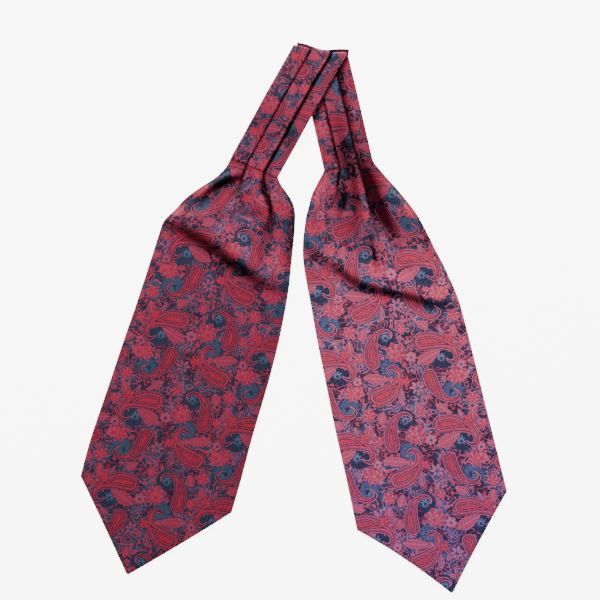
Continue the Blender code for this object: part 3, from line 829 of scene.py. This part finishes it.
tone = add(flower, MIX, [filled, None, given["Edge"], given["Fill"]])[0]
eye = add(flower, MATH, [given["Radius"], 0.26], operation="MULTIPLY")[0]
eye = add(flower, MATH, [away, eye], operation="LESS_THAN")[0]
tone = add(flower, MIX, [eye, None, tone, given["Eye"]])[0]
tone = add(flower, MIX, [within, None, GROUND, tone])[0]
add(flower, "NodeGroupOutput", [tone, mask])
print("flower:", len(flower.nodes), "nodes")

# %% [markdown]
# ## Leaves
# A leaf is a tapered strip with a toothed edge and a dark midrib. Its slanting veins are the distance
# up the leaf less the distance from its middle, cut into even steps.

# %% Motif: leaf
leaf, given = motif("leaf", ("Ragged", "Length", "Half width", "Teeth", "Fill", "Edge"))
x, y, _ = add(leaf, SPLIT, [given["Place"]])
share = add(leaf, MATH, [y, given["Length"]], operation="DIVIDE")[0]
share = add(leaf, MATH, [share, 0.5], operation="ADD")[0]
blade = add(leaf, "ShaderNodeFloatCurve", [1.0, share])
curve_points(blade[0].node, [(0.0, 0.0), (0.12, 0.55), (0.36, 1.0), (0.7, 0.72), (1.0, 0.0)])
tooth = add(leaf, MATH, [share, given["Teeth"]], operation="MULTIPLY")[0]
tooth = add(leaf, MATH, [tooth], operation="FRACT")[0]
tooth = add(leaf, MATH, [tooth, -0.3, 1.12], operation="MULTIPLY_ADD")[0]
width = add(leaf, MATH, [blade[0], given["Half width"]], operation="MULTIPLY")[0]
width = add(leaf, MATH, [width, tooth], operation="MULTIPLY")[0]
aside = add(leaf, MATH, [x], operation="ABSOLUTE")[0]
inner = add(leaf, MATH, [width, aside], operation="SUBTRACT")[0]
inner = add(leaf, MATH, [given["Ragged"], 0.5, inner], operation="MULTIPLY_ADD")[0]
mask = add(leaf, MATH, [inner, -HALO], operation="GREATER_THAN")[0]
within = add(leaf, MATH, [inner, 0.0], operation="GREATER_THAN")[0]
past_edge = add(leaf, MATH, [inner, 0.6], operation="GREATER_THAN")[0]
rib = add(leaf, MATH, [aside, 0.42], operation="GREATER_THAN")[0]
veins = add(leaf, MATH, [y, aside], operation="SUBTRACT")[0]
veins = add(leaf, MATH, [veins, 0.42], operation="MULTIPLY")[0]
veins = add(leaf, MATH, [veins], operation="FRACT")[0]
veins = add(leaf, MATH, [veins, 0.26], operation="GREATER_THAN")[0]
rib = add(leaf, MATH, [rib, veins], operation="MULTIPLY")[0]
filled = add(leaf, MATH, [past_edge, rib], operation="MULTIPLY")[0]
tone = add(leaf, MIX, [filled, None, given["Edge"], given["Fill"]])[0]
tone = add(leaf, MIX, [within, None, GROUND, tone])[0]
add(leaf, "NodeGroupOutput", [tone, mask])
print("leaf:", len(leaf.nodes), "nodes")

# %% [markdown]
# ## Sprays
# Thin curling stems with small leaves tie the big motifs together. A stem is a line that sways as it
# rises, and its leaflets sit on alternate sides of it, one to each step of its length.

# %% Motif: spray
spray, given = motif("spray", ("Ragged", "Length", "Sway", "Step", "Leaflet", "Fill", "Edge"))
x, y, _ = add(spray, SPLIT, [given["Place"]])
turn = add(spray, MATH, [y, given["Step"]], operation="DIVIDE")[0]
swing = add(spray, MATH, [turn, math.pi], operation="MULTIPLY")[0]
swing = add(spray, MATH, [swing], operation="SINE")[0]
path = add(spray, MATH, [swing, given["Sway"]], operation="MULTIPLY")[0]
aside = add(spray, MATH, [x, path], operation="SUBTRACT")[0]
stem = add(spray, MATH, [aside], operation="ABSOLUTE")[0]
stem = add(spray, MATH, [0.55, stem], operation="SUBTRACT")[0]
cell = add(spray, MATH, [turn], operation="FRACT")[0]
cell = add(spray, MATH, [cell, 0.5], operation="SUBTRACT")[0]
cell = add(spray, MATH, [cell, given["Step"]], operation="MULTIPLY")[0]
tip = add(spray, MATH, [given["Leaflet"], 0.9], operation="MULTIPLY")[0]
out = add(spray, MATH, [x], operation="ABSOLUTE")[0]
out = add(spray, MATH, [out, tip], operation="SUBTRACT")[0]
slant = add(spray, MATH, [out, -0.5, cell], operation="MULTIPLY_ADD")[0]
slant = add(spray, MATH, [slant, 1.9], operation="MULTIPLY")[0]
leaflet = add(spray, JOIN, [out, slant, 0.0])[0]
leaflet = add(spray, VECTOR, [leaflet], operation="LENGTH")["Value"]
leaflet = add(spray, MATH, [tip, leaflet], operation="SUBTRACT")[0]
either = add(spray, MATH, [stem, leaflet], operation="MAXIMUM")[0]
mask = add(spray, MATH, [either, 0.0], operation="GREATER_THAN")[0]
reach = add(spray, MATH, [y], operation="ABSOLUTE")[0]
limit = add(spray, MATH, [given["Length"], 0.5], operation="MULTIPLY")[0]
short = add(spray, MATH, [reach, limit], operation="LESS_THAN")[0]
mask = add(spray, MATH, [mask, short], operation="MULTIPLY")[0]
heart = add(spray, MATH, [leaflet, 0.6], operation="GREATER_THAN")[0]
tone = add(spray, MIX, [heart, None, given["Edge"], given["Fill"]])[0]
add(spray, "NodeGroupOutput", [tone, mask])
print("spray:", len(spray.nodes), "nodes")

# %% [markdown]
# ## One repeat of the cloth
# A woven paisley repeats. This one comes round every 103 mm across the cloth and every 83.3 mm along
# it, with each next column set 6.6 mm lower. The repeat was charted in millimetres: four
# botehs that curl round blue stars, flowers and leaves between them, and sprays in the gaps. Only the
# places, turns and sizes are charted. Each motif itself is one of the four formulas above, so none
# is an outline traced from a cloth. A line below gives a motif's middle, the way it points in degrees
# from up to the right, whether it is mirrored, and its own numbers. Later lines lie over earlier ones.

# %% The layout
REPEAT = (103.0, 83.3)
DROP = 0.064
LAYOUT = [
    # sprays go down first, so that the larger motifs lie over them
    (spray, 12, -177, -70, False, (30, 2.2, 7.0, 2.0, RED, PINK)),
    (spray, 14, -242, 60, False, (40, 2.6, 7.5, 2.2, RED, PINK)),
    (spray, 42, -232, 8, False, (34, 2.0, 6.5, 2.2, RED, PINK)),
    (spray, -10, -254, 95, False, (40, 2.0, 6.5, 2.0, RED, PINK)),
    (spray, 62, -202, 10, False, (44, 2.2, 7.0, 2.2, RED, PINK)),
    # calm pools of bare ground inside the curls
    (flower, -5.5, -173.0, 40, False, (0, 0, 9.4, 0.0, 0.2, GROUND, GROUND, SLATE)),
    (flower, -10.0, -204.5, 60, False, (0, 0, 9.6, 0.0, 0.3, SLATE, GROUND, GROUND)),
    (flower, 42.6, -201.0, 90, False, (0, 0, 10.0, 0.0, 0.3, GROUND, GROUND, SLATE)),
    (flower, 46.0, -235.5, 60, False, (0, 0, 10.0, 0.0, 0.3, SLATE, GROUND, GROUND)),
    (flower, 20.6, -233.0, 20, False, (5, 1, 6.4, 0.4, 0.2, PLUM, PINK, SLATE)),
    # blue stars and flowers: petals, pointed, radius, depth, lean, fill, edge, eye
    (flower, -5.0, -173, 0, False, (9, 1, 5.4, 0.45, 0.2, ASTER, SLATE, GROUND)),
    (flower, -8.2, -205.7, 0, False, (9, 1, 4.6, 0.6, 0.0, ASTER, SLATE, SLATE)),
    (flower, 43.8, -201.6, 0, False, (9, 1, 5.4, 0.45, 0.2, ASTER, SLATE, GROUND)),
    (flower, 48.6, -238.0, 0, False, (9, 1, 4.6, 0.6, 0.0, ASTER, SLATE, SLATE)),
    (flower, 14, -226.4, 0, False, (7, 1, 8.0, 0.42, 0.1, PINK, PLUM, SLATE)),
    # leaves: length, half width, teeth, fill, edge
    (leaf, 32.3, -197.9, 70, False, (27, 6.0, 9, RED, PINK)),
    (leaf, -21.8, -210.8, 104, False, (28, 5.0, 11, RED, PINK)),
    (leaf, 50.1, -261.3, -15, False, (17, 3.4, 1, PLUM, PINK)),
    (leaf, -2.7, -231.0, 10, False, (16, 3.2, 1, PLUM, PINK)),
    (leaf, -41.8, -260.0, 20, False, (14, 4.6, 3, RED, PINK)),
    (leaf, -26.4, -249.3, 25, False, (13, 4.6, 3, RED, PINK)),
    (leaf, 32.5, -248.9, -50, False, (13, 4.6, 3, RED, PINK)),
    # red flowers
    (flower, 1.1, -191.5, 15, False, (9, 1, 11.0, 0.26, 0.3, RED, PINK, FLAME)),
    (flower, 0.2, -190.2, 40, False, (6, 1, 7.0, 0.4, 0.2, FLAME, PINK, RED)),
    (flower, 56, -190, 0, False, (6, 1, 9.2, 0.32, 0.1, RED, PINK, FLAME)),
    (flower, 15.2, -195.6, 0, False, (7, 0, 6.2, 0.3, 0.1, PINK, RED, PLUM)),
    (flower, -34, -189.4, 10, False, (5, 1, 6.6, 0.45, 0.2, RED, PINK, FLAME)),
    (flower, -37.9, -245.5, 0, False, (6, 1, 7.4, 0.3, 0.1, RED, PINK, FLAME)),
    (flower, 53, -221.7, 30, False, (7, 1, 10.4, 0.34, 0.15, RED, PINK, FLAME)),
    (flower, -43.4, -222, 0, False, (5, 1, 7.6, 0.36, 0.2, FLAME, PINK, RED)),
    (flower, -41.5, -210.7, 0, False, (6, 0, 5.4, 0.34, 0.1, PINK, RED, PLUM)),
    (flower, 12.4, -250.4, 0, False, (5, 1, 6.0, 0.4, 0.1, RED, PINK, FLAME)),
    # botehs: straight spine, curl radius, half width, scallop, arc
    (boteh, -22.5, -194.0, 16.5, False, (25.0, 8.8, 7.4, 0.0, 3.0)),
    (boteh, 28.5, -216.5, 161.0, True, (24.0, 8.8, 7.2, 0.0, 3.5)),
    (boteh, 29.0, -182.6, 107.0, False, (27.0, 8.6, 8.8, 0.1, 3.6)),
    (boteh, -25.8, -229.0, 65.0, True, (24.5, 9.0, 8.8, 0.1, 3.6)),
    # buds where the tails pass
    (flower, 3.9, -218.7, 0, False, (5, 1, 5.4, 0.4, 0.1, FLAME, RED, RED)),
    (flower, -9.6, -213.7, 0, False, (5, 1, 4.0, 0.4, 0.0, FLAME, PINK, RED)),
    (flower, 55.5, -182.5, 0, False, (5, 1, 5.4, 0.4, 0.1, FLAME, RED, RED)),
]

paisley = bpy.data.node_groups.new("woven paisley", "ShaderNodeTree")
paisley.interface.new_socket("Cloth", in_out="INPUT", socket_type="NodeSocketVector")
paisley.interface.new_socket("Tone", in_out="OUTPUT", socket_type="NodeSocketFloat")
cloth_place = add(paisley, "NodeGroupInput")["Cloth"]
across, along, _ = add(paisley, SPLIT, [cloth_place])
sheared = add(paisley, MATH, [across, DROP, along], operation="MULTIPLY_ADD")[0]
cloth_place = add(paisley, JOIN, [across, sheared, 0.0])[0]
half_repeat = (REPEAT[0] / 2, REPEAT[1] / 2, 1.0)
less_half = tuple(-value for value in half_repeat)

# woven edges are never quite smooth: this ragged step, in millimetres, is shared by all the motifs
ragged = add(paisley, "ShaderNodeTexNoise", {"Vector": cloth_place, "Scale": 0.55, "Detail": 1.0})["Fac"]
ragged = add(paisley, MATH, [ragged, 4.2, -2.1], operation="MULTIPLY_ADD")[0]

# the ground: navy with slate patches, and curling threads and small buds between the motifs
cloud = add(paisley, "ShaderNodeTexNoise", {"Vector": cloth_place, "Scale": 0.055, "Detail": 1.0})["Fac"]
ground = add(paisley, "ShaderNodeMapRange", [cloud, 0.4, 0.66, GROUND - 0.03, SLATE])[0]
wander = add(paisley, "ShaderNodeTexNoise", {"Vector": cloth_place, "Scale": 0.12, "Detail": 0.5})["Fac"]
vine = add(paisley, MATH, [wander, 6.0], operation="MULTIPLY")[0]
vine = add(paisley, MATH, [vine], operation="FRACT")[0]
vine = add(paisley, MATH, [ragged, 0.06, vine], operation="MULTIPLY_ADD")[0]
thread = add(paisley, "ShaderNodeMapRange", [cloud, 0.4, 0.6, RED, PINK])[0]
outline = add(paisley, MATH, [vine, 0.33], operation="LESS_THAN")[0]
tone = add(paisley, MIX, [outline, None, ground, LINE])[0]
vine = add(paisley, MATH, [vine, 0.25], operation="LESS_THAN")[0]
tone = add(paisley, MIX, [vine, None, tone, thread])[0]
buds = add(paisley, "ShaderNodeTexVoronoi", {"Vector": cloth_place, "Scale": 0.17, "Randomness": 0.8})
local = add(paisley, VECTOR, [cloth_place, buds["Position"]], operation="SUBTRACT")[0]
x, y, _ = add(paisley, SPLIT, [local])
chance = add(paisley, "ShaderNodeSeparateColor", [buds["Color"]])[0]
bearing = add(paisley, MATH, [x, y], operation="ARCTAN2")[0]
bearing = add(paisley, MATH, [chance, 6.0, bearing], operation="MULTIPLY_ADD")[0]
petal = add(paisley, MATH, [bearing, 2.0], operation="MULTIPLY")[0]
petal = add(paisley, MATH, [petal], operation="COSINE")[0]
petal = add(paisley, MATH, [petal], operation="ABSOLUTE")[0]
size = add(paisley, MATH, [petal, 1.5, 0.7], operation="MULTIPLY_ADD")[0]
away = add(paisley, VECTOR, [local], operation="LENGTH")["Value"]
bud = add(paisley, MATH, [size, away], operation="SUBTRACT")[0]
bud = add(paisley, MATH, [ragged, 0.6, bud], operation="MULTIPLY_ADD")[0]
bud_mask = add(paisley, MATH, [bud, 0.0], operation="GREATER_THAN")[0]
bud_heart = add(paisley, MATH, [bud, 0.5], operation="GREATER_THAN")[0]
bud_tone = add(paisley, MIX, [bud_heart, None, PINK, RED])[0]
tone = add(paisley, MIX, [bud_mask, None, tone, bud_tone])[0]

for group, place_across, place_up, turn, mirror, numbers in LAYOUT:
    middle, flip = (place_across, place_up, 0.0), (-1.0 if mirror else 1.0, 1.0, 1.0)
    local = add(paisley, VECTOR, [cloth_place, middle], operation="SUBTRACT")[0]
    local = add(paisley, VECTOR, [local, half_repeat, less_half], operation="WRAP")[0]
    local = add(paisley, "ShaderNodeMapping", [local, (0, 0, 0), (0, 0, -math.radians(turn)), flip],
                vector_type="TEXTURE")[0]
    made = add(paisley, "ShaderNodeGroup", [local, ragged, *numbers], node_tree=group)
    tone = add(paisley, MIX, [made["Mask"], None, tone, made["Tone"]])[0]
# the red weft is not quite even: it floats longer in some places than in others
tone = add(paisley, MATH, [ragged, 0.05, tone], operation="MULTIPLY_ADD")[0]
add(paisley, "NodeGroupOutput", [tone])
print("one repeat:", len(LAYOUT), "motifs,", len(paisley.nodes), "nodes")

# %% [markdown]
# ## The silk
# Jacquard silk satin: red, rose and blue wefts float over a navy warp, so the figures shine and the
# ground stays matt and deep. Figured satin looks lighter or deeper with the slope of its threads to
# the light, and the two blades were laid at different angles. So each colour is given twice, as it
# looks in the deep light and in the bright, and the bright copy is painted light. A slow change down
# the cloth mixes the two, and a crest with a painted highlight gets the bright copy too. Towards its
# point the silk also gets painted cool light. A crease gets painted shade, and since the floating
# wefts of the figures still catch some light when the matt ground beside them is already black, this
# painted shade darkens the ground sooner. Silk's own reflection is weak and takes the colour of the
# threads, hence a low, rosy specular, a middling roughness, which rises to matt inside the creases,
# and a trace of sheen. The weave is finer than the render can show, 0.25 mm, so its twill is drawn at
# 0.7 mm, just strong enough to break up the shine. Slubs, the thicker places in a silk thread, are
# streaks 0.9 mm wide and 20 mm long.

# %% Make the silk
# each tone as the silk looks in deeper light, and a bright copy of it that is painted light
DEEP = {
    "gap": "#1A1824", "ground": "#262C3E", "slate": "#333D54", "aster": "#465670", "line": "#1E1820",
    "plum": "#4E263A", "pink": "#88405A", "red": "#8C2136", "flame": "#A2283A",
}
PAINTED_LIGHT_COLOURS = {
    "gap": "#282034", "ground": "#303048", "slate": "#4A5076", "aster": "#767CA2", "line": "#2C2230",
    "plum": "#7E4264", "pink": "#C26C8C", "red": "#B2334E", "flame": "#C84458",
}
# the painted shade in a crease: its colour and how far it darkens
CREASE_SHADE_COLOUR, CREASE_SHADE = "#42283A", 0.95
# how much sooner the painted shade of a crease darkens the matt ground than the figures
GROUND_SOONER = 3.0
# the painted cool light near the points: its tint and gain, and where it begins and is full, in mm down
COOL_TINT, COOL_GAIN = "#E2E6FF", 1.18
COOL_START, COOL_FULL = 210.0, 400.0
# a slub is about 0.9 mm wide and 20 mm long, and a ridge of the twill is 0.04 mm high
SLUB = (1.1, 0.05, 0.0)
TWILL_STEP, TWILL_HEIGHT = 0.7, 0.00004
FINISH = {
    "Specular IOR Level": 0.1, "Specular Tint": linear("#E88CA0"), "Sheen Weight": 0.03,
    "Sheen Roughness": 0.4, "IOR": 1.54,
}
PLAIN_ROUGHNESS, CREASE_ROUGHNESS = 0.54, 0.95


def silk(name, bright_from, bright_to, brightest, coolest, mirror, start):
    """The silk of one half: where its painted light starts and is full, in mm down, its most painted light
    and painted cool light, and its cut.
    """
    material = bpy.data.materials.new(name)
    material.use_nodes = True
    tree = material.node_tree
    shader = tree.nodes["Principled BSDF"]
    uv = add(tree, "ShaderNodeUVMap", uv_map="UVMap")[0]
    to_mm = (-1 / MM if mirror else 1 / MM, 1 / MM, 0.0)
    cloth_mm = add(tree, VECTOR, [uv, to_mm], operation="MULTIPLY")[0]
    cloth_mm = add(tree, VECTOR, [cloth_mm, (*start, 0.0)], operation="ADD")[0]
    across, along, _ = add(tree, SPLIT, [cloth_mm])
    tone = add(tree, "ShaderNodeGroup", [cloth_mm], node_tree=paisley)[0]
    looks = []
    for palette in (DEEP, PAINTED_LIGHT_COLOURS):
        looks.append(add(tree, "ShaderNodeValToRGB", [tone]))
        set_ramp(looks[-1], [(TONES[key], linear(code)) for key, code in palette.items()])
    # painted light: brighter by the place down the cloth, or where a crest gets a painted highlight
    painted_light = add(tree, "ShaderNodeMapRange", [along, -bright_from, -bright_to, 0.0, brightest],
               interpolation_type="SMOOTHSTEP")[0]
    fold_light = add(tree, "ShaderNodeAttribute", attribute_name="fold_light")["Fac"]
    gleam = add(tree, "ShaderNodeMapRange", [fold_light, 0.0, -1.0, 0.0, 1.0])[0]
    painted_light = add(tree, MATH, [painted_light, gleam], operation="MAXIMUM")[0]
    colour = add(tree, MIX, {0: painted_light, 6: looks[0][0], 7: looks[1][0]}, data_type="RGBA")[2]
    # towards its point the silk gets painted cool light, bluer and brighter, for the cool light of the room
    painted_cool_light = add(tree, "ShaderNodeMapRange", [along, -COOL_START, -COOL_FULL, 0.0, coolest],
               interpolation_type="SMOOTHSTEP")[0]
    tinted = {0: 1.0, 6: colour, 7: linear(COOL_TINT)}
    cooled = add(tree, MIX, tinted, data_type="RGBA", blend_type="MULTIPLY")[2]
    cooled = add(tree, VECTOR, {0: cooled, "Scale": COOL_GAIN}, operation="SCALE")[0]
    colour = add(tree, MIX, {0: painted_cool_light, 6: colour, 7: cooled}, data_type="RGBA")[2]
    # painted shade in a crease, which darkens the matt ground sooner than the figures
    lit = add(tree, "ShaderNodeMapRange", [fold_light, 0.0, 1.0, 1.0, 1.0 - CREASE_SHADE])[0]
    sooner = add(tree, "ShaderNodeMapRange", [tone, LINE, PLUM, GROUND_SOONER, 1.0])[0]
    lit = add(tree, MATH, [lit, sooner], operation="POWER")[0]
    shade = add(tree, MATH, [1.0, lit], operation="SUBTRACT")[0]
    darkened = {0: shade, 6: colour, 7: linear(CREASE_SHADE_COLOUR)}
    colour = add(tree, MIX, darkened, data_type="RGBA", blend_type="MULTIPLY")[2]
    # slubs: the thicker places in a silk thread run along the warp
    slub_place = add(tree, VECTOR, [cloth_mm, SLUB], operation="MULTIPLY")[0]
    slub = add(tree, "ShaderNodeTexNoise", {"Vector": slub_place, "Scale": 1.0, "Detail": 1.0})["Fac"]
    slub = add(tree, "ShaderNodeMapRange", [slub, 0.3, 0.7, 0.88, 1.1])[0]
    colour = add(tree, VECTOR, {0: colour, "Scale": slub}, operation="SCALE")[0]
    tree.links.new(colour, shader.inputs["Base Color"])
    # the twill: fine slanting ridges, 0.25 mm apart on the real cloth and 0.7 mm here
    slant = add(tree, MATH, [across, along], operation="ADD")[0]
    slant = add(tree, MATH, [slant, 2 * math.pi / TWILL_STEP], operation="MULTIPLY")[0]
    twill = add(tree, MATH, [slant], operation="SINE")[0]
    ridges = add(tree, "ShaderNodeBump", {"Height": twill, "Strength": 0.25, "Distance": TWILL_HEIGHT})[0]
    tree.links.new(ridges, shader.inputs["Normal"])
    # silk that is pressed between folds gives back no sheen
    dulled = add(tree, "ShaderNodeMapRange", [fold_light, 0.0, 1.0, PLAIN_ROUGHNESS, CREASE_ROUGHNESS])[0]
    tree.links.new(dulled, shader.inputs["Roughness"])
    for socket, value in FINISH.items():
        shader.inputs[socket].default_value = value
    return material


finishes = {
    "left": silk("jacquard silk satin, left half", 125.0, 55.0, 0.06, 0.0, True, (4.3, -20.9)),
    "right": silk("jacquard silk satin, right half", 5.0, 170.0, 1.0, 1.0, False, (0.0, 0.0)),
}
for side, finish in finishes.items():
    fronts[side].data.materials.append(finish)
    backs[side].data.materials.append(finish)
    print(side, "half:", finish.name, "with", len(finish.node_tree.nodes), "nodes")

# %% [markdown]
# ## The table and the sheets in place of the solids
# A plane is laid as the table top. Each sheet is hung under the model's root in place of the solids
# it stands for, and those solids are hidden.

bpy.ops.object.select_all(action="DESELECT")
bpy.ops.mesh.primitive_plane_add(size=6.0, location=(0.0, 0.0, -0.0004))
table_top = bpy.context.object
table_top.name = "table_top"


for half in (LEFT, RIGHT):
    side = half["side"]
    front, back = fronts[side], backs[side]
    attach(front, "root")
    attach(back, "root")
    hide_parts(f"{side}_band", f"{side}_blade_front")
    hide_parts(f"{side}_blade_back")

# %% [markdown]
# ## Light
# A product photo of neckwear is lit by big soft lamps, so that satin shines in broad bands and the
# table stays white. The big lamp stands beyond the fold, and a small cool one near the points lays
# a faint shine on the blades.

# %% Light the table
table_white = bpy.data.materials.new("white paper sweep")
table_white.use_nodes = True
# the floor in such photos is burnt out to plain white, so the paper also gives off light itself
paper = {
    "Base Color": linear("#F7F7F7"), "Roughness": 0.9,
    "Emission Color": linear("#FFFFFF"), "Emission Strength": 7.0,
}
for socket, value in paper.items():
    table_white.node_tree.nodes["Principled BSDF"].inputs[socket].default_value = value
table_top.data.materials.append(table_white)
world = bpy.data.worlds.new("soft room")
bpy.context.scene.world = world
world.use_nodes = True
world.node_tree.nodes["Background"].inputs["Color"].default_value = linear("#FFFFFF")
world.node_tree.nodes["Background"].inputs["Strength"].default_value = 0.14


def soft_lamp(name, place, size, power, tint=(1.0, 1.0, 1.0)):
    """A rectangular lamp that faces the middle of the table. Size in metres, power in watts."""
    bpy.ops.object.light_add(type="AREA", location=place)
    lamp = bpy.context.object
    lamp.name = name
    lamp.data.shape = "RECTANGLE"
    lamp.data.size, lamp.data.size_y = size
    lamp.data.energy = power
    lamp.data.color = tint
    toward = -np.array(place)
    pitch = math.atan2(math.hypot(toward[0], toward[1]), -toward[2])
    lamp.rotation_euler = (pitch, 0.0, math.atan2(toward[1], toward[0]) - math.pi / 2)


soft_lamp("key_lamp", (-0.35, 1.5, 1.1), (1.3, 0.7), 80.0)
soft_lamp("shine_lamp", (0.42, -0.6, 1.3), (0.4, 0.4), 3.2, (0.82, 0.86, 1.0))
print("lamps:", [lamp.name for lamp in bpy.data.lights])

# %% [markdown]
# ## The camera
# The photo was taken from straight above, so the camera looks straight down. A long lens from well
# above the table keeps the outline free of perspective, as in the photo.

# %% Place the camera
bpy.ops.object.camera_add(location=(0.0061, 0.0179, 1.390), rotation=(0.0, 0.0, 0.0))
camera = bpy.context.object
camera.data.lens = 85.0
camera.data.sensor_width = 36.0
bpy.context.scene.camera = camera
print("camera", round(camera.location.z, 2), "m up, lens", camera.data.lens, "mm")
